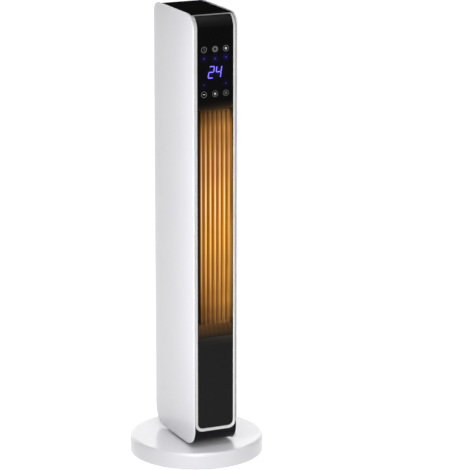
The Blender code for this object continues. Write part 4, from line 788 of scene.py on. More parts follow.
def onPath(along):
    # Point and outward normal of the side outline, each as (y, z)
    first, second, third, fourth, fifth = marks
    front, rear, low, high = tower["front"], tower["rear"], tower["bottom"], tower["top"]
    if along < 0:
        return (front + tower["bottomFront"] - along, low), (0, -1)
    if first <= along < second:
        return (front, low + tower["bottomFront"] + along - first), (-1, 0)
    if third <= along < fourth:
        return (front + tower["topFront"] + along - third, high), (0, 1)
    if along >= fifth:
        return (rear, high - tower["topRear"] - (along - fifth)), (1, 0)
    if along < first:
        radius, turn = tower["bottomFront"], along / tower["bottomFront"]
        normal, centre = (-math.sin(turn), -math.cos(turn)), (front + radius, low + radius)
    elif along < third:
        radius, turn = tower["topFront"], (along - second) / tower["topFront"]
        normal, centre = (-math.cos(turn), math.sin(turn)), (front + radius, high - radius)
    else:
        radius, turn = tower["topRear"], (along - fourth) / tower["topRear"]
        normal, centre = (math.sin(turn), math.cos(turn)), (rear - radius, high - radius)
    return (centre[0] + radius * normal[0], centre[1] + radius * normal[1]), normal


def roundFront(across, along, depth):
    (y, z), (outY, outZ) = onPath(along)
    return (across, y - outY * depth, z - outZ * depth)


def atHeight(z):
    return marks[0] + z - tower["bottom"] - tower["bottomFront"]


def atTopAngle(degrees):
    # Place on the top front corner, with the angle measured from straight up
    return marks[1] + tower["topFront"] * math.radians(90 - degrees)


def arcPoints(centre, radius, start, end, steps):
    turns = [start + (end - start) * step / steps for step in range(steps + 1)]
    return [(centre[0] + radius * math.cos(turn), centre[1] + radius * math.sin(turn)) for turn in turns]


def roundedLoop(left, right, low, high, radii, steps=10):
    # Anticlockwise rectangle; radii are for lower left, lower right, upper right, upper left
    corners = ((left, low, 1, 1), (right, low, -1, 1), (right, high, -1, -1), (left, high, 1, -1))
    loop = []
    for number, ((x, y, toX, toY), radius) in enumerate(zip(corners, radii)):
        start = (number + 2) * quarter
        if radius:
            loop += arcPoints((x + toX * radius, y + toY * radius), radius, start, start + quarter, steps)
        else:
            loop.append((x, y))
    return loop


def offsetLoop(loop, distance):
    # Draws an anticlockwise loop in by distance, with mitred corners
    moved = []
    for number, here in enumerate(loop):
        before, after = loop[number - 1], loop[(number + 1) % len(loop)]
        first = Vector(here) - Vector(before)
        second = Vector(after) - Vector(here)
        first.normalize()
        second.normalize()
        one, two = Vector((-first.y, first.x)), Vector((-second.y, second.x))
        miter = (one + two) / max(0.3, 1 + one.dot(two))
        moved.append((here[0] + miter.x * distance, here[1] + miter.y * distance))
    return moved


mergeDistance = 0.0000015
sliceDistance = 0.000001


def objectFrom(form, name, material, smoothAngle=34, recalculate=True):
    bmesh.ops.remove_doubles(form, verts=form.verts, dist=mergeDistance)
    if recalculate:
        bmesh.ops.recalc_face_normals(form, faces=form.faces)
    mesh = bpy.data.meshes.new(name)
    form.to_mesh(mesh)
    form.free()
    mesh.materials.append(material)
    item = bpy.data.objects.new(name, mesh)
    scene.collection.objects.link(item)
    return smoothBy(item, smoothAngle)


def smoothBy(item, degrees):
    for face in item.data.polygons:
        face.use_smooth = True
    item.data.set_sharp_from_angle(angle=math.radians(degrees))
    return item


def dress(item, body, replaced):
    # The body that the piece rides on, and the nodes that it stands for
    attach(item, body)
    if replaced:
        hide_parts(*replaced)
    return item


def joinRows(form, one, two):
    # Quads between two closed rows of as many points
    for number in range(len(one)):
        after = (number + 1) % len(one)
        form.faces.new((one[number], one[after], two[after], two[number]))


def edgesOf(form, row):
    return [form.edges.get((row[number - 1], row[number])) for number in range(len(row))]


def fillCap(form, edges, normal):
    bmesh.ops.triangle_fill(form, use_beauty=True, use_dissolve=False, edges=edges, normal=normal)


def growPlate(form, outer, holes, front, back, edge, steps=3):
    # Plate between two depths with a rounded front rim, drawn in flat (u, v, depth)
    rings = [(0.0, back), (0.0, front + edge)]
    for step in range(1, steps + 1):
        turn = quarter * step / steps
        rings.append((edge * (1 - math.cos(turn)), front + edge * (1 - math.sin(turn))))
    rings.append((edge * 1.7, front))
    caps = ([], [])
    for loop, way in [(outer, 1)] + [(hole, -1) for hole in holes]:
        rows = [
            [form.verts.new((*point, depth)) for point in offsetLoop(loop, way * inset)]
            for inset, depth in rings
        ]
        for one, two in zip(rows, rows[1:]):
            joinRows(form, one, two)
        for row, cap in ((rows[0], caps[0]), (rows[-1], caps[1])):
            cap += edgesOf(form, row)
    for cap in caps:
        fillCap(form, cap, (0, 0, 1))


def sliceAt(form, stations, axis=1):
    # Cuts edges into the form at each station along the axis
    along = Vector([float(number == axis) for number in range(3)])
    for station in stations:
        parts = form.verts[:] + form.edges[:] + form.faces[:]
        place = along * station
        bmesh.ops.bisect_plane(form, geom=parts, plane_co=place, plane_no=along, dist=sliceDistance)


def moveAll(form, place):
    for point in form.verts:
        point.co = place(*point.co)


def cornerStations(low, high, step=math.radians(2.5)):
    # Places along the path where the plate bends: one every few degrees of each corner
    found = []
    count = round(quarter / step)
    corners = ((0, "bottomFront"), (marks[1], "topFront"), (marks[3], "topRear"))
    for start, radius in [(start, tower[corner]) for start, corner in corners]:
        found += [start + radius * quarter * number / count for number in range(count + 1)]
    return [along for along in found if low < along < high]


print("building the side panels")
sidePanel = {
    "thickness": 0.0040,
    "edge": 0.0013,
    "edgeSteps": 6,
    "crown": 0.0011,
    "crownFrontShare": 0.5,
    "crownRearShare": 0.86,
    "stations": 30,
    "cornerSteps": 30,
    "rows": 12,
    "rowSpacing": 0.06,
    "smoothAngle": 40,
    "rimNormal": 0.75,  # faces that look sideways less than this belong to the rim
}


def crownDrop(y):
    share = (y - tower["front"]) / (tower["rear"] - tower["front"])
    if share < sidePanel["crownFrontShare"]:
        return sidePanel["crown"] * (1 - share / sidePanel["crownFrontShare"]) ** 2
    if share > sidePanel["crownRearShare"]:
        over = (share - sidePanel["crownRearShare"]) / (1 - sidePanel["crownRearShare"])
        return sidePanel["crown"] * over**2
    return 0.0


def buildSidePanel(name, side, node):
    form = bmesh.new()
    radii = [tower[key] for key in ("bottomFront", "bottomRear", "topRear", "topFront")]
    outline = roundedLoop(
        tower["front"], tower["rear"], tower["bottom"], tower["top"], radii, sidePanel["cornerSteps"]
    )
    growPlate(form, outline, [], 0, sidePanel["thickness"], sidePanel["edge"], sidePanel["edgeSteps"])
    depth = tower["rear"] - tower["front"]
    count, spacing = sidePanel["stations"], sidePanel["rowSpacing"]
    sliceAt(form, [tower["front"] + depth * number / count for number in range(1, count)], 0)
    sliceAt(form, [tower["bottom"] + spacing * number for number in range(1, sidePanel["rows"] + 1)], 1)

    def place(y, z, inward):
        drop = crownDrop(y) if inward < sidePanel["thickness"] / 2 else 0.0
        return (side * (tower["halfWidth"] - inward - drop), y, z)

    moveAll(form, place)
    shell = objectFrom(form, name, finish["white"], sidePanel["smoothAngle"])
    # The rim round the shell is satin, with painted shade that darkens it, so that no bright line runs
    # along the top
    shell.data.materials.append(finish["shadedWhiteRim"])
    for face in shell.data.polygons:
        if abs(face.normal.x) < sidePanel["rimNormal"]:
            face.material_index = 1
    dress(shell, "tower", [node])


buildSidePanel("sidePanelLeft", -1, "side_panel_left")
buildSidePanel("sidePanelRight", 1, "side_panel_right")

print("building the front trim, panel, chin and top")
trim = {
    "inset": 0.0006,
    "back": 0.0033,
    "width": 0.0054,
    "low": 0.0629,
    "corner": 0.0145,
    "innerCorner": 0.0100,
    "topAngle": 20,
    "topWidth": 0.0020,
    "groove": 0.0006,
    "edge": 0.0005,
    "cornerSteps": 14,
}
chin = {"inset": 0.0014, "edge": 0.0004, "reach": 0.012, "cornerSteps": 12}
top = {
    "inset": 0.0018,
    "edge": 0.0004,
    "trayDepth": 0.0006,
    "trayEdge": 0.0032,
    "trayCorner": 0.0012,
    "trayOverlap": 0.00002,
    "floorEdge": 0.00005,
}

trimHigh = atTopAngle(trim["topAngle"])
openingHigh = trimHigh - trim["topWidth"]
trimInnerHalf = tower["coreHalf"] - trim["width"]


def openingLoop(shrink):
    # Opening of the trim on the flattened front
    corner = trim["innerCorner"] - shrink
    low = atHeight(trim["low"] + trim["width"] + shrink)
    half = trimInnerHalf - shrink
    return roundedLoop(-half, half, low, openingHigh - shrink, (corner, corner, 0, 0), 12)


def wrapPlate(name, outer, holes, sizes, material, node):
    # A flat plate from the piece's inset to the trim's back, bent round the front of the tower
    form = bmesh.new()
    growPlate(form, outer, holes, sizes["inset"], trim["back"], sizes["edge"])
    places = [point[1] for point in outer]
    sliceAt(form, cornerStations(min(places), max(places)) + [0, *marks[:4]])
    moveAll(form, roundFront)
    dress(objectFrom(form, name, material), "tower", [node])


def buildTrim():
    half, corners = tower["coreHalf"] - trim["groove"], (trim["corner"], trim["corner"], 0, 0)
    outer = roundedLoop(-half, half, atHeight(trim["low"]), trimHigh, corners, trim["cornerSteps"])
    wrapPlate("frontTrim", outer, [openingLoop(0)], trim, finish["silver"], "front_trim")


def buildFrontPanel():
    half, outer = panel["outletHalf"], openingLoop(gap)
    low, high = atHeight(panel["outletLow"]), atHeight(panel["outletHigh"])
    window = roundedLoop(-half, half, low, high, [panel["outletCorner"]] * 4, 6)
    wrapPlate("frontPanel", outer, [window], panel, finish["pianoBlack"], "front_panel")


def buildChin():
    # The upper line runs round the trim's lower corners
    half, corner = tower["coreHalf"], trim["corner"]
    level = atHeight(trim["low"] - gap)
    centre = level + corner
    reach = half + gap
    turn = math.acos((half - (reach - corner)) / corner)
    steps = chin["cornerSteps"]
    left = arcPoints((-(reach - corner), centre), corner, math.pi + turn, 3 * quarter, steps)
    right = arcPoints((reach - corner, centre), corner, 3 * quarter, 2 * math.pi - turn, steps)
    outer = [(-half, -chin["reach"]), (half, -chin["reach"])] + right[::-1] + left[::-1]
    wrapPlate("chinCover", outer, [], chin, finish["chinBlack"], "chin_cover")


def buildTop():
    # A tray with a low rim, from the trim's upper line over to the rear corner
    half = tower["coreHalf"]
    start = trimHigh + gap
    outer = [(-half, start), (half, start), (half, marks[4]), (-half, marks[4])]
    low, high = marks[2] + top["trayEdge"], marks[3] - top["trayEdge"]
    side = half - top["trayEdge"]
    tray = roundedLoop(-side, side, low, high, [top["trayCorner"]] * 4, 6)
    form = bmesh.new()
    growPlate(form, outer, [tray], top["inset"], trim["back"], top["edge"])
    # Floor of the tray: its own plate, let into the opening
    floor = top["inset"] + top["trayDepth"]
    growPlate(form, offsetLoop(tray, top["trayOverlap"]), [], floor, trim["back"], top["floorEdge"], 1)
    sliceAt(form, cornerStations(start, marks[4]) + [marks[2], marks[3]])
    moveAll(form, roundFront)
    dress(objectFrom(form, "topPanel", finish["topBlack"]), "tower", ["top_panel"])


buildTrim()
buildFrontPanel()
buildChin()
buildTop()

print("turning the base")
base = {
    "radius": 0.120,
    "bottom": 0.002,
    "top": 0.032,
    "wall": 0.0025,
    "rim": 0.0058,
    "foot": 0.0022,
    "plinthRadius": 0.034,
    "plinthTop": 0.0332,
    "hubRadius": 0.020,
    "boreRadius": 0.012,
    "hubTop": 0.0468,
    "step": 0.0005,  # chamfer of the hub and of the plinth
    "rings": (0.05, 0.07, 0.09, 0.105),
    "glandHole": 0.0045,
    "glandDrill": 0.02,
    "steps": 192,
    "smoothAngle": 50,
}


def turnProfile(form, profile, steps, centre=(0, 0), closed=True):
    # Turns (radius, height) points about an upright axis; points on the axis become one vertex
    rows = []
    for radius, height in profile:
        if not radius:
            rows.append([form.verts.new((*centre, height))])
            continue
        row = []
        for step in range(steps):
            turn = 2 * math.pi * step / steps
            x, y = centre[0] + radius * math.cos(turn), centre[1] + radius * math.sin(turn)
            row.append(form.verts.new((x, y, height)))
        rows.append(row)
    pairs = list(zip(rows, rows[1:])) + ([(rows[-1], rows[0])] if closed else [])
    for one, two in pairs:
        if len(one) == 1 and len(two) == 1:
            continue
        for step in range(steps):
            after = (step + 1) % steps
            corners = [one[step % len(one)], one[after % len(one)]]
            corners += [two[after % len(two)], two[step % len(two)]]
            form.faces.new(list(dict.fromkeys(corners)))


def buildBase():
    inner = base["radius"] - base["wall"]
    rimCentre = (base["radius"] - base["rim"], base["top"] - base["rim"])
    footCentre = (base["radius"] - base["foot"], base["bottom"] + base["foot"])
    step, plinth = base["step"], base["plinthRadius"]
    profile = [(base["boreRadius"], base["hubTop"]), (base["hubRadius"] - step, base["hubTop"])]
    profile += [(base["hubRadius"], base["hubTop"] - step), (base["hubRadius"], base["plinthTop"])]
    profile += [(plinth - step, base["plinthTop"]), (plinth, base["plinthTop"] - step)]
    profile += [(radius, base["top"]) for radius in (plinth, *base["rings"])]
    profile += arcPoints(rimCentre, base["rim"], quarter, 0, 14)
    profile += arcPoints(footCentre, base["foot"], 0, -quarter, 6)
    profile += [(inner, base["bottom"]), (inner, rimCentre[1])]
    profile += arcPoints(rimCentre, base["rim"] - base["wall"], 0, quarter, 6)[1:]
    profile += [(base["boreRadius"], base["top"] - base["wall"])]
    form = bmesh.new()
    turnProfile(form, profile, base["steps"])
    shell = objectFrom(form, "baseShell", finish["baseWhite"], base["smoothAngle"])
    # Hole for the cord gland in the rear wall
    middle, radius = (base["bottom"] + base["top"]) / 2, base["glandHole"]
    cutter = bmesh.new()
    bmesh.ops.create_cone(
        cutter,
        cap_ends=True,
        segments=48,
        radius1=radius,
        radius2=radius,
        depth=base["glandDrill"],
        matrix=Matrix.Translation((0, base["radius"], middle)) @ Matrix.Rotation(quarter, 4, "X"),
    )
    cutAway(shell, objectFrom(cutter, "glandCutter", finish["baseWhite"]))
    shell.data.set_sharp_from_angle(angle=math.radians(base["smoothAngle"]))
    dress(shell, "base", ["base_cover"])


def settle(item):
    # Turns the object and its modifiers into a plain mesh
    graph = bpy.context.evaluated_depsgraph_get()
    mesh = bpy.data.meshes.new_from_object(item.evaluated_get(graph), depsgraph=graph)
    item.modifiers.clear()
    item.data = mesh
    return item


def cutAway(item, tool, crossing=False):
    # Cuts the tool out of the item and drops it; crossing is for a tool whose parts overlap
    drill = item.modifiers.new("cut", "BOOLEAN")
    drill.operation, drill.solver, drill.object, drill.use_self = "DIFFERENCE", "EXACT", tool, crossing
    settle(item)
    bpy.data.objects.remove(tool)


buildBase()


# Geometry Nodes: trees for what repeats, each with named inputs
slatSteps = {"parts": 40, "sides": 36}


def openTree(name, inputs):
    # A tree with these inputs, besides the host mesh and the material
    tree = bpy.data.node_groups.new(name, "GeometryNodeTree")
    tree.is_modifier = True
    for label, kind in {"Geometry": "Geometry", **inputs, "Material": "Material"}.items():
        tree.interface.new_socket(name=label, in_out="INPUT", socket_type="NodeSocket" + kind)
    tree.interface.new_socket(name="Geometry", in_out="OUTPUT", socket_type="NodeSocketGeometry")
    return tree, tree.nodes.new("NodeGroupInput").outputs


def closeTree(tree, given, points, piece):
    # Copies of the piece on the points, made real and painted
    copies = outputOf(tree, "GeometryNodeInstanceOnPoints", {"Points": points, "Instance": piece})
    real = outputOf(tree, "GeometryNodeRealizeInstances", {"Geometry": copies})
    coat = {"Geometry": real, "Material": given["Material"]}
    addNode(tree, "NodeGroupOutput", {"Geometry": outputOf(tree, "GeometryNodeSetMaterial", coat)})
    return tree


def pointsAt(tree, given, x=0, y=0, z=0):
    # As many points as the tree's count, at x, y and z
    place = outputOf(tree, "ShaderNodeCombineXYZ", {"X": x, "Y": y, "Z": z})
    return outputOf(tree, "GeometryNodePoints", {"Count": given["Count"], "Position": place})


def pieceOf(tree, given):
    # Geometry of the object that is given as the piece
    return addNode(tree, "GeometryNodeObjectInfo", {"Object": given["Piece"]}).outputs["Geometry"]


def growRing():
    # The same piece at even steps round the vertical axis
    tree, given = openTree(
        "ringOfPieces",
        {"Count": "Int", "Radius": "Float", "First Angle": "Float", "Height": "Float", "Piece": "Object"},
    )
    share = mathOf(tree, "DIVIDE", 2 * math.pi, given["Count"])
    index = outputOf(tree, "GeometryNodeInputIndex")
    turn = mathOf(tree, "MULTIPLY_ADD", index, share, given["First Angle"])
    waves = [mathOf(tree, wave, turn) for wave in ("COSINE", "SINE")]
    x, y = [mathOf(tree, "MULTIPLY", wave, given["Radius"]) for wave in waves]
    points = pointsAt(tree, given, x, y, given["Height"])
    return closeTree(tree, given, points, pieceOf(tree, given))


def growScatter():
    # The same piece on every point of the host mesh
    tree, given = openTree("pieceOnPoints", {"Piece": "Object"})
    return closeTree(tree, given, given["Geometry"], pieceOf(tree, given))


def growSlats():
    # Upright ovals in a row, from a profile curve swept up a line
    labels = ("Pitch", "Slat Width", "Slat Chord", "Depth", "Low", "High")
    tree, given = openTree("uprightSlats", {"Count": "Int", **{label: "Float" for label in labels}})
    foot, head = [outputOf(tree, "ShaderNodeCombineXYZ", {"Z": given[end]}) for end in ("Low", "High")]
    line = outputOf(tree, "GeometryNodeCurvePrimitiveLine", {"Start": foot, "End": head})
    line = outputOf(tree, "GeometryNodeResampleCurve", {"Curve": line, "Count": slatSteps["parts"]})
    size = {"X": given["Slat Width"], "Y": given["Slat Chord"], "Z": 1}
    size = outputOf(tree, "ShaderNodeCombineXYZ", size)
    oval = {"Resolution": slatSteps["sides"], "Radius": 0.5}
    oval = outputOf(tree, "GeometryNodeCurvePrimitiveCircle", oval)
    oval = outputOf(tree, "GeometryNodeTransform", {"Geometry": oval, "Scale": size})
    sweep = {"Curve": line, "Profile Curve": oval, "Fill Caps": True}
    middle = mathOf(tree, "MULTIPLY_ADD", given["Count"], -0.5, 0.5)
    step = mathOf(tree, "ADD", outputOf(tree, "GeometryNodeInputIndex"), middle)
    points = pointsAt(tree, given, mathOf(tree, "MULTIPLY", step, given["Pitch"]), given["Depth"])
    return closeTree(tree, given, points, outputOf(tree, "GeometryNodeCurveToMesh", sweep))


def growStack():
    # Thin bars one above the other, such as heater fins
    tree, given = openTree(
        "stackOfBars",
        {"Count": "Int", "Low": "Float", "High": "Float", "Size": "Vector", "Centre": "Vector"},
    )
    last = mathOf(tree, "SUBTRACT", given["Count"], 1.0)
    share = mathOf(tree, "DIVIDE", outputOf(tree, "GeometryNodeInputIndex"), last)
    level = rangeOf(tree, share, given["Low"], given["High"])
    rise = outputOf(tree, "ShaderNodeCombineXYZ", {"Z": level})
    place = outputOf(tree, "ShaderNodeVectorMath", {0: rise, 1: given["Centre"]}, operation="ADD")
    points = outputOf(tree, "GeometryNodePoints", {"Count": given["Count"], "Position": place})
    fin = outputOf(tree, "GeometryNodeMeshCube", {"Size": given["Size"]})
    return closeTree(tree, given, points, fin)


trees = {"ring": growRing(), "scatter": growScatter(), "slats": growSlats(), "stack": growStack()}


def runTree(name, tree, settings, points=()):
    mesh = bpy.data.meshes.new(name)
    mesh.from_pydata([tuple(point) for point in points], [], [])
    item = bpy.data.objects.new(name, mesh)
    scene.collection.objects.link(item)
    grower = item.modifiers.new(name, "NODES")
    grower.node_group = tree
    for socket in tree.interface.items_tree:
        if socket.in_out == "INPUT" and socket.name in settings:
            grower[socket.identifier] = settings[socket.name]
    return settle(item)


def placeCopies(name, tree, settings, pattern, replaced, body, smoothAngle, points=()):
    # Copies of the pattern, which is dropped after them
    settings = {"Piece": pattern, "Material": pattern.data.materials[0], **settings}
    item = runTree(name, trees[tree], settings, points)
    bpy.data.objects.remove(pattern)
    dress(smoothBy(item, smoothAngle), body, replaced)


def numbered(name, count):
    return [f"{name}_{number}" for number in range(1, count + 1)]


print("placing the feet and the screws")
feet = {
    "count": 5,
    "circle": 0.0963,
    "firstAngle": math.radians(-76),
    "radius": 0.009,
    "stemRadius": 0.003,
    "padTop": 0.0027,
    "stemTop": 0.0077,
    "padStep": 0.0004,
    "padRound": 0.0012,
    "grooveShares": (0.55, 0.5, 0.45),
    "steps": 40,
    "smoothAngle": 40,
}
screws = {
    "headRadius": 0.003,
    "headHeight": 0.0016,
    "shankRadius": 0.0015,
    "slotWidth": 0.0006,
    "slotDepth": 0.0009,
    "slotReachShare": 0.62,
    "sideShare": 0.35,
    "domeAngles": (0.4, 0.8, 1.2),
    "steps": 32,
    "smoothAngle": 35,
    "rearX": 0.0295,
    "rearLevels": (0.2277, 0.6561),
    "rearSeat": 0.0827,
    "rearLength": 0.0110,
    "baseCircle": 0.1074,
    "baseAngles": (30, 125, 215, 320),
    "baseSeat": 0.0027,
    "baseLength": 0.0105,
}


def buildFeet():
    form = bmesh.new()
    radius, stem, edge = feet["radius"], feet["stemRadius"], feet["padRound"]
    profile = [(0, feet["stemTop"]), (stem, feet["stemTop"]), (stem, feet["padTop"])]
    profile += [(radius, feet["padTop"])]
    profile += arcPoints((radius - feet["padStep"] - edge, edge), edge, 0, -quarter, 5)
    # A shallow ring groove in the underside
    outer, middle, inner = feet["grooveShares"]
    profile += [(radius * outer, 0), (radius * middle, feet["padStep"]), (radius * inner, 0), (0, 0)]
    turnProfile(form, profile, feet["steps"], closed=False)
    pattern = objectFrom(form, "footPattern", finish["rubber"], feet["smoothAngle"])
    places = {"Count": feet["count"], "Radius": feet["circle"], "First Angle": feet["firstAngle"]}
    names = numbered("rubber_foot", feet["count"])
    placeCopies("rubberFeet", "ring", places, pattern, names, "base", feet["smoothAngle"])


def screwPattern(name, turn, length):
    # Domed head on a plain shank, with a cross cut into the head
    form = bmesh.new()
    radius, height = screws["headRadius"], screws["headHeight"]
    shank, side = screws["shankRadius"], screws["sideShare"]
    dome = [(radius, 0), (radius, height * side)]
    for angle in screws["domeAngles"]:
        dome.append((radius * math.cos(angle), height * (side + (1 - side) * math.sin(angle))))
    profile = [(0, -length), (shank, -length), (shank, 0)] + dome + [(0, height)]
    turnProfile(form, profile, screws["steps"], closed=False)
    bmesh.ops.recalc_face_normals(form, faces=form.faces)
    bmesh.ops.transform(form, matrix=turn, verts=form.verts)
    screw = objectFrom(form, name, finish["steel"], screws["smoothAngle"])
    arm, half = radius * screws["slotReachShare"], screws["slotWidth"] / 2
    cutter = bmesh.new()
    for across, along in ((arm, half), (half, arm)):
        size = Matrix.Diagonal((2 * across, 2 * along, 2 * screws["slotDepth"], 1))
        bmesh.ops.create_cube(cutter, size=1, matrix=turn @ Matrix.Translation((0, 0, height)) @ size)
    cutAway(screw, objectFrom(cutter, name + "Cutter", finish["steel"], recalculate=False), crossing=True)
    return screw


def placeScrews(name, body, node, turn, length, places):
    pattern, names = screwPattern(name + "Pattern", turn, length), numbered(node, len(places))
    placeCopies(name, "scatter", {}, pattern, names, body, screws["smoothAngle"], places)


def buildScrews():
    toRear, down = Matrix.Rotation(-quarter, 4, "X"), Matrix.Rotation(math.pi, 4, "X")
    sides, levels = (-screws["rearX"], screws["rearX"]), screws["rearLevels"]
    places = [(x, screws["rearSeat"], z) for x in sides for z in levels]
    placeScrews("rearScrews", "tower", "rear_screw", toRear, screws["rearLength"], places)
    turns = [math.radians(angle) for angle in screws["baseAngles"]]
    reach, seat = screws["baseCircle"], screws["baseSeat"]
    places = [(reach * math.cos(turn), reach * math.sin(turn), seat) for turn in turns]
    placeScrews("baseScrews", "base", "base_screw", down, screws["baseLength"], places)


buildFeet()
buildScrews()

print("setting the slats and the heater behind them")
louvre = {
    "count": 6,
    "stileWidth": 0.0026,
    "width": 0.0034,
    "chord": 0.011,
    "middle": -0.0703,
    "low": 0.2562,
    "high": 0.6431,
    "endGap": 0.0006,
    "half": 0.0322,
    "rail": 0.0028,
    "railBack": -0.0648,
    "railEdge": 0.0004,
    "smoothAngle": 50,
}
heater = {
    "finCount": 170,
    "finThickness": 0.0004,
    "coreWidth": 0.006,
    "coreDepth": 0.004,
    "coreEdge": 0.0006,
    "casing": 0.0004,
    "casingEdge": 0.0002,
}


def boxInto(form, xs, ys, zs, edge=0.0):
    size = (xs[1] - xs[0], ys[1] - ys[0], zs[1] - zs[0])
    centre = [(pair[0] + pair[1]) / 2 for pair in (xs, ys, zs)]
    matrix = Matrix.Translation(centre) @ Matrix.Diagonal((*size, 1))
    made = bmesh.ops.create_cube(form, size=1, matrix=matrix)
    if edge:
        edges = list({side for point in made["verts"] for side in point.link_edges})
        bmesh.ops.bevel(form, geom=edges, offset=edge, segments=3, profile=0.5, affect="EDGES")


def buildLouvre():
    stiles = (2, 2 * louvre["half"] - louvre["stileWidth"], louvre["stileWidth"])
    rows = (("louvreSlats", (louvre["count"], slatPitch, louvre["width"])), ("louvreStiles", stiles))
    for name, (count, pitch, width) in rows:
        row = runTree(
            name,
            trees["slats"],
            {
                "Count": count,
                "Pitch": pitch,
                "Slat Width": width,
                "Slat Chord": louvre["chord"],
                "Depth": louvre["middle"],
                "Low": louvre["low"] + louvre["endGap"],
                "High": louvre["high"] - louvre["endGap"],
                "Material": finish["gold"],
            },
        )
        dress(smoothBy(row, louvre["smoothAngle"]), "tower", ["outlet_louvre"])
    form = bmesh.new()
    low, high, rail = louvre["low"], louvre["high"], louvre["rail"]
    xs, ys = (-louvre["half"], louvre["half"]), (louvre["middle"], louvre["railBack"])
    for zs in ((low, low + rail), (high - rail, high)):
        boxInto(form, xs, ys, zs, louvre["railEdge"])
    dress(objectFrom(form, "louvreRails", finish["gold"]), "tower", ["outlet_louvre"])


def buildHeater():
    # Each element is a flat ceramic core with a stack of thin fins on both sides of it
    for name, node in (("heaterLeft", "heater_element_left"), ("heaterRight", "heater_element_right")):
        low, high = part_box(node)
        middle, depth = (low + high) / 2, high.y - low.y
        reach = (high.x - low.x - heater["coreWidth"]) / 2
        for part, x in (("Outer", low.x + reach / 2), ("Inner", high.x - reach / 2)):
            stack = runTree(
                name + part,
                trees["stack"],
                {
                    "Count": heater["finCount"],
                    "Low": low.z + heater["finThickness"],
                    "High": high.z - heater["finThickness"],
                    "Size": (reach, depth, heater["finThickness"]),
                    "Centre": (x, middle.y, 0.0),
                    "Material": finish["fins"],
                },
            )
            dress(stack, "tower", [node])
        form = bmesh.new()
        half, casing = heater["coreWidth"] / 2, heater["casing"]
        xs, zs = (middle.x - half, middle.x + half), (low.z, high.z)
        ys = (middle.y - heater["coreDepth"] / 2, middle.y + heater["coreDepth"] / 2)
        boxInto(form, xs, ys, zs, heater["coreEdge"])
        # The casing that the fins are soldered to
        for y in (low.y + casing, high.y - casing):
            boxInto(form, xs, (y - casing, y + casing), zs, heater["casingEdge"])
        dress(objectFrom(form, name + "Core", finish["fins"]), "tower", [node])


buildLouvre()
buildHeater()


# Softened copies of CAD solids: merged, flattened to their true faces, then bevelled
soft = {"angle": 30, "mergeDistance": 0.00001, "flatAngle": math.radians(1)}


def softened(name, node, width, material, body="tower", steps=2):
    item = bpy.data.objects.new(name, nodes[node].data.copy())
    scene.collection.objects.link(item)
    form = bmesh.new()
    form.from_mesh(item.data)
    bmesh.ops.remove_doubles(form, verts=form.verts, dist=soft["mergeDistance"])
    bmesh.ops.dissolve_limit(form, angle_limit=soft["flatAngle"], verts=form.verts, edges=form.edges)
    form.to_mesh(item.data)
    form.free()
    item.data.materials.clear()
    item.data.materials.append(material)
    bevel = item.modifiers.new("soften", "BEVEL")
    bevel.width, bevel.segments, bevel.limit_method = width, steps, "ANGLE"
    bevel.angle_limit = math.radians(soft["angle"])
    bevel.use_clamp_overlap = True
    bevel.harden_normals = True
    smoothBy(item, soft["angle"])
    dress(settle(item), body, [node])


print("softening the core, the outlet and the switch")
softened("outletSurround", "outlet_surround", 0.0003, finish["warmBlack"])
softened("rearCover", "rear_cover", 0.0003, finish["satinBlack"])
softened("frontHousing", "front_housing", 0.0002, finish["satinBlack"])
softened("switchHousing", "switch_housing", 0.0004, finish["satinBlack"], steps=3)
softened("mainSwitch", "main_switch", 0.0004, finish["satinBlack"], "rocker", 3)

print("painting the carried-over solids")
painted = {
    "satinBlack": ("base_plate", "cord_gland", "fan_rotor"),
    "iron": ("base_weight",),
    "natural": ("swing_gear", "swing_pinion", "thrust_washer", "pivot_bush", "tilt_switch"),
    "steel": (*numbered("gear_screw", 3), "swing_plate", "thermal_cutout", "fan_shaft"),
    "motorSteel": ("swing_motor", "fan_motor"),
    "heaterFrame": ("heater_frame",),
    "grey": ("lower_bulkhead", "upper_bulkhead", "scroll_wall", "scroll_tongue"),
    "bronze": ("upper_bearing",),
    "mesh": ("intake_filter",),
    "board": ("control_board", "power_board"),
    "lens": ("display_module",),
}


def paintNode(item, material):
    if not item.material_slots:
        item.data.materials.append(material)
    for place in item.material_slots:
        place.material = material


for look, names in painted.items():
    for name in names:
        paintNode(nodes[name], finish[look])

print("printing the touch keys and lighting the figures")
keys = {
    "columns": (-0.0214, -0.0005, 0.0199),
    "upper": 0.7522,
    "lower": 0.6739,
    "radius": 0.0055,
    "line": 0.0009,
    "proud": 0.00006,
    "sunk": 0.00002,
    "bladeLength": 0.0016,
    "bladeWidth": 0.0008,
}
faceY = tower["front"] + panel["inset"]


def growPrint(form, loop, holes=(), proud=None):
    # Thin closed print on the flat of the front, from an anticlockwise (x, z) loop
    lift = keys["proud"] if proud is None else proud
    edges = ([], [])
    for ring in [loop] + list(holes):
        near = [form.verts.new((x, faceY - lift, z)) for x, z in ring]
        far = [form.verts.new((x, faceY + keys["sunk"], z)) for x, z in ring]
        joinRows(form, near, far)
        for row, found in ((near, edges[0]), (far, edges[1])):
            found += edgesOf(form, row)
    for found in edges:
        fillCap(form, found, (0, 1, 0))


def circle(centre, radius, steps=40):
    return arcPoints(centre, radius, 0, 2 * math.pi * (steps - 1) / steps, steps - 1)


def bar(start, end, width):
    first, second = Vector(start), Vector(end)
    side = (second - first).normalized()
    side = Vector((-side.y, side.x)) * width / 2
    return [tuple(first - side), tuple(second - side), tuple(second + side), tuple(first + side)]


def ringPrint(form, centre, radius, line):
    growPrint(form, circle(centre, radius), [circle(centre, radius - line)])


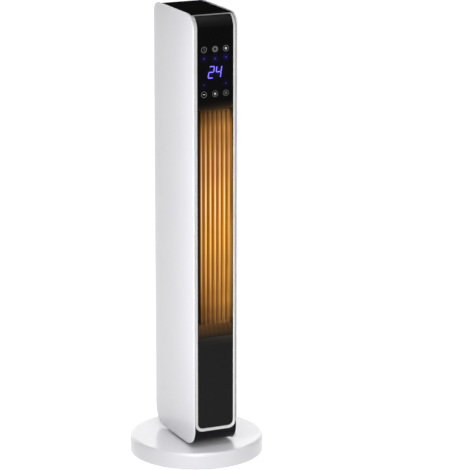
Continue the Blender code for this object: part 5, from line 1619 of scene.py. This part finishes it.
def buildKeys():
    radius, line = keys["radius"], keys["line"]
    left, middle, right = keys["columns"]
    grey, pale = bmesh.new(), bmesh.new()
    # Upper row: timer, power and mode
    spot = Vector((left, keys["upper"]))
    ringPrint(grey, spot, radius, line * 1.25)
    for across, up in ((0, 0.55), (0.5, -0.18)):
        growPrint(grey, bar(spot, spot + Vector((across, up)) * radius, line * 1.1))
    growPrint(grey, circle(spot - Vector((0, radius * 0.52)), line * 0.75, 16))
    ringPrint(grey, (middle, keys["upper"]), radius, radius * 0.60)
    ringPrint(grey, (right, keys["upper"]), radius, line * 1.2)
    growPrint(pale, circle((right, keys["upper"]), radius * 0.36, 28))
    # Lower row: less, more and fan
    low = keys["lower"]
    for column in (left, middle, right):
        ringPrint(grey, (column, low), radius, line * 0.8)
    for column, arm, width in ((left, radius * 0.42, line), (middle, radius * 0.45, line * 1.2)):
        growPrint(pale, bar((column - arm, low), (column + arm, low), width))
    arm, start = radius * 0.45, line * 0.62
    for foot, head in ((-arm, -start), (start, arm)):
        growPrint(pale, bar((middle, low + foot), (middle, low + head), line * 1.2))
    for number in range(4):
        turn = Matrix.Rotation(quarter * number + quarter / 2, 2)
        blade = []
        for step in range(18):
            angle = 2 * math.pi * step / 18
            out = radius * 0.36 + keys["bladeLength"] * math.cos(angle)
            side = keys["bladeWidth"] * math.sin(angle)
            blade.append(tuple(Vector((right, low)) + turn @ Vector((out, side))))
        growPrint(grey, blade)
    dress(objectFrom(grey, "keyPrints", finish["print"]), "tower", [])
    dress(objectFrom(pale, "keyMarks", finish["brightPrint"]), "tower", [])


segments = {
    # ends of each stroke in half widths and half heights
    "a": ((-1, 1), (1, 1)),
    "b": ((1, 1), (1, 0)),
    "c": ((1, 0), (1, -1)),
    "d": ((-1, -1), (1, -1)),
    "e": ((-1, 0), (-1, -1)),
    "f": ((-1, 1), (-1, 0)),
    "g": ((-1, 0), (1, 0)),
}
figureSegments = {"2": "abged", "4": "fgbc"}


def strokeLoop(start, end, width):
    # Six-cornered stroke with pointed ends
    first, second = Vector(start), Vector(end)
    along = (second - first).normalized()
    side = Vector((-along.y, along.x)) * width / 2
    cut = along * width / 2
    first, second = first + along * display["strokeGap"], second - along * display["strokeGap"]
    points = [first, first + cut - side, second - cut - side]
    points += [second, second - cut + side, first + cut + side]
    return [tuple(point) for point in points]


def buildFigures():
    form = bmesh.new()
    half, tall = [display[key] / 2 - display["stroke"] / 2 for key in ("width", "height")]
    for figure, centre in zip(display["figures"], display["centres"]):
        for letter in figureSegments[figure]:
            ends = []
            for u, v in segments[letter]:
                z = v * tall
                ends.append((centre + u * half + z * display["slant"], display["middle"] + z))
            growPrint(form, strokeLoop(*ends, display["stroke"]), proud=display["proud"])
    dress(objectFrom(form, "displayFigures", finish["figures"]), "tower", [])
    for name, look, lamps in (("indicatorLamps", "lamp", "lamps"), ("dimLamps", "dimLamp", "dimLamps")):
        form = bmesh.new()
        for patch in halo["patches"][halo[lamps]]:
            growPrint(form, circle(patch[:2], display["lampRadius"], 20), proud=display["lampProud"])
        dress(objectFrom(form, name, finish[look]), "tower", [])


buildKeys()
buildFigures()

print("setting the studio")
studio = {
    "floorReachOut": 30,
    "floorTones": (0.155, 0.165),
    "floorGlow": (0.99, 0.42),
    "floorCentre": (1.2, 2.5, 0),
    "floorReach": (2.85, 4.2),
    "brightSide": Vector((0.25, 0.97, 0)).normalized(),
    "sideRange": (0.5, 0.88),
    "sideLight": (0.35, 1.8),
    "highLight": 0.25,
    "highRange": (0.3, 0.7),
    # name, place, aim, size, power, colour
    "lights": (
        ("nearStrip", (-0.16, -0.20, 0.52), (0, -0.20, 0.52), (0.04, 0.84), 1.0, (0.97, 0.97, 1.0)),
        ("frontFill", (-1.3, -3.0, 1.2), (0, 0, 0.3), (1.2, 2.0), 40, (1.0, 1.0, 1.0)),
        ("overhead", (0, -0.1, 2.6), (0, 0, 0), (1.4, 1.4), 30, (1.0, 1.0, 1.0)),
    ),
}


def buildWorld():
    # Studio walls: bright behind the object, dimmer towards the viewer and overhead
    world = bpy.data.worlds.new("studio")
    scene.world = world
    world.use_nodes = True
    tree = world.node_tree
    where = addNode(tree, "ShaderNodeTexCoord").outputs["Generated"]
    facing = {0: where, 1: studio["brightSide"]}
    facing = addNode(tree, "ShaderNodeVectorMath", facing, operation="DOT_PRODUCT").outputs["Value"]
    around = rangeOf(tree, facing, *studio["sideLight"], *studio["sideRange"], smooth=True)
    height = addNode(tree, "ShaderNodeSeparateXYZ", {"Vector": where}).outputs["Z"]
    high = rangeOf(tree, height, 1.0, studio["highLight"], *studio["highRange"], smooth=True)
    backdrop = tree.nodes["Background"]
    backdrop.inputs["Color"].default_value = (1, 1, 1, 1)
    tree.links.new(mathOf(tree, "MULTIPLY", around, high), backdrop.inputs["Strength"])


def buildFloor():
    form = bmesh.new()
    reach = studio["floorReachOut"]
    places = ((-reach, -reach), (reach, -reach), (reach, reach), (-reach, reach))
    form.faces.new([form.verts.new((x, y, 0)) for x, y in places])
    dark, light = studio["floorTones"]
    material, tree, shader = startMaterial("studio floor", (dark,) * 3, 0.85, specular=0.2)
    feed(tree, shader, "Base Color", blendOf(tree, noiseOf(tree, 0.8, 2.0), dark, light))
    shader.inputs["Emission Color"].default_value = (1, 1, 1, 1)
    # Bright round the object and behind it, dimmer towards the viewer and the far sides
    away = {0: addNode(tree, "ShaderNodeTexCoord").outputs["Object"], 1: studio["floorCentre"]}
    away = addNode(tree, "ShaderNodeVectorMath", away, operation="DISTANCE").outputs["Value"]
    bright = rangeOf(tree, away, *studio["floorGlow"], *studio["floorReach"], smooth=True)
    feed(tree, shader, "Emission Strength", bright)
    objectFrom(form, "studioFloor", material, recalculate=False)


def hangLights():
    for name, place, aim, size, power, colour in studio["lights"]:
        lamp = bpy.data.lights.new(name, "AREA")
        lamp.shape, lamp.size, lamp.size_y = "RECTANGLE", *size
        lamp.energy, lamp.color = power, colour
        item = bpy.data.objects.new(name, lamp)
        scene.collection.objects.link(item)
        turn = (Vector(aim) - Vector(place)).to_track_quat("-Z", "Y")
        item.matrix_world = Matrix.Translation(place) @ turn.to_matrix().to_4x4()
        item.visible_camera = False


buildWorld()
buildFloor()
hangLights()
scene.view_settings.view_transform = "Standard"

bpy.context.view_layer.update()
print("finishing")
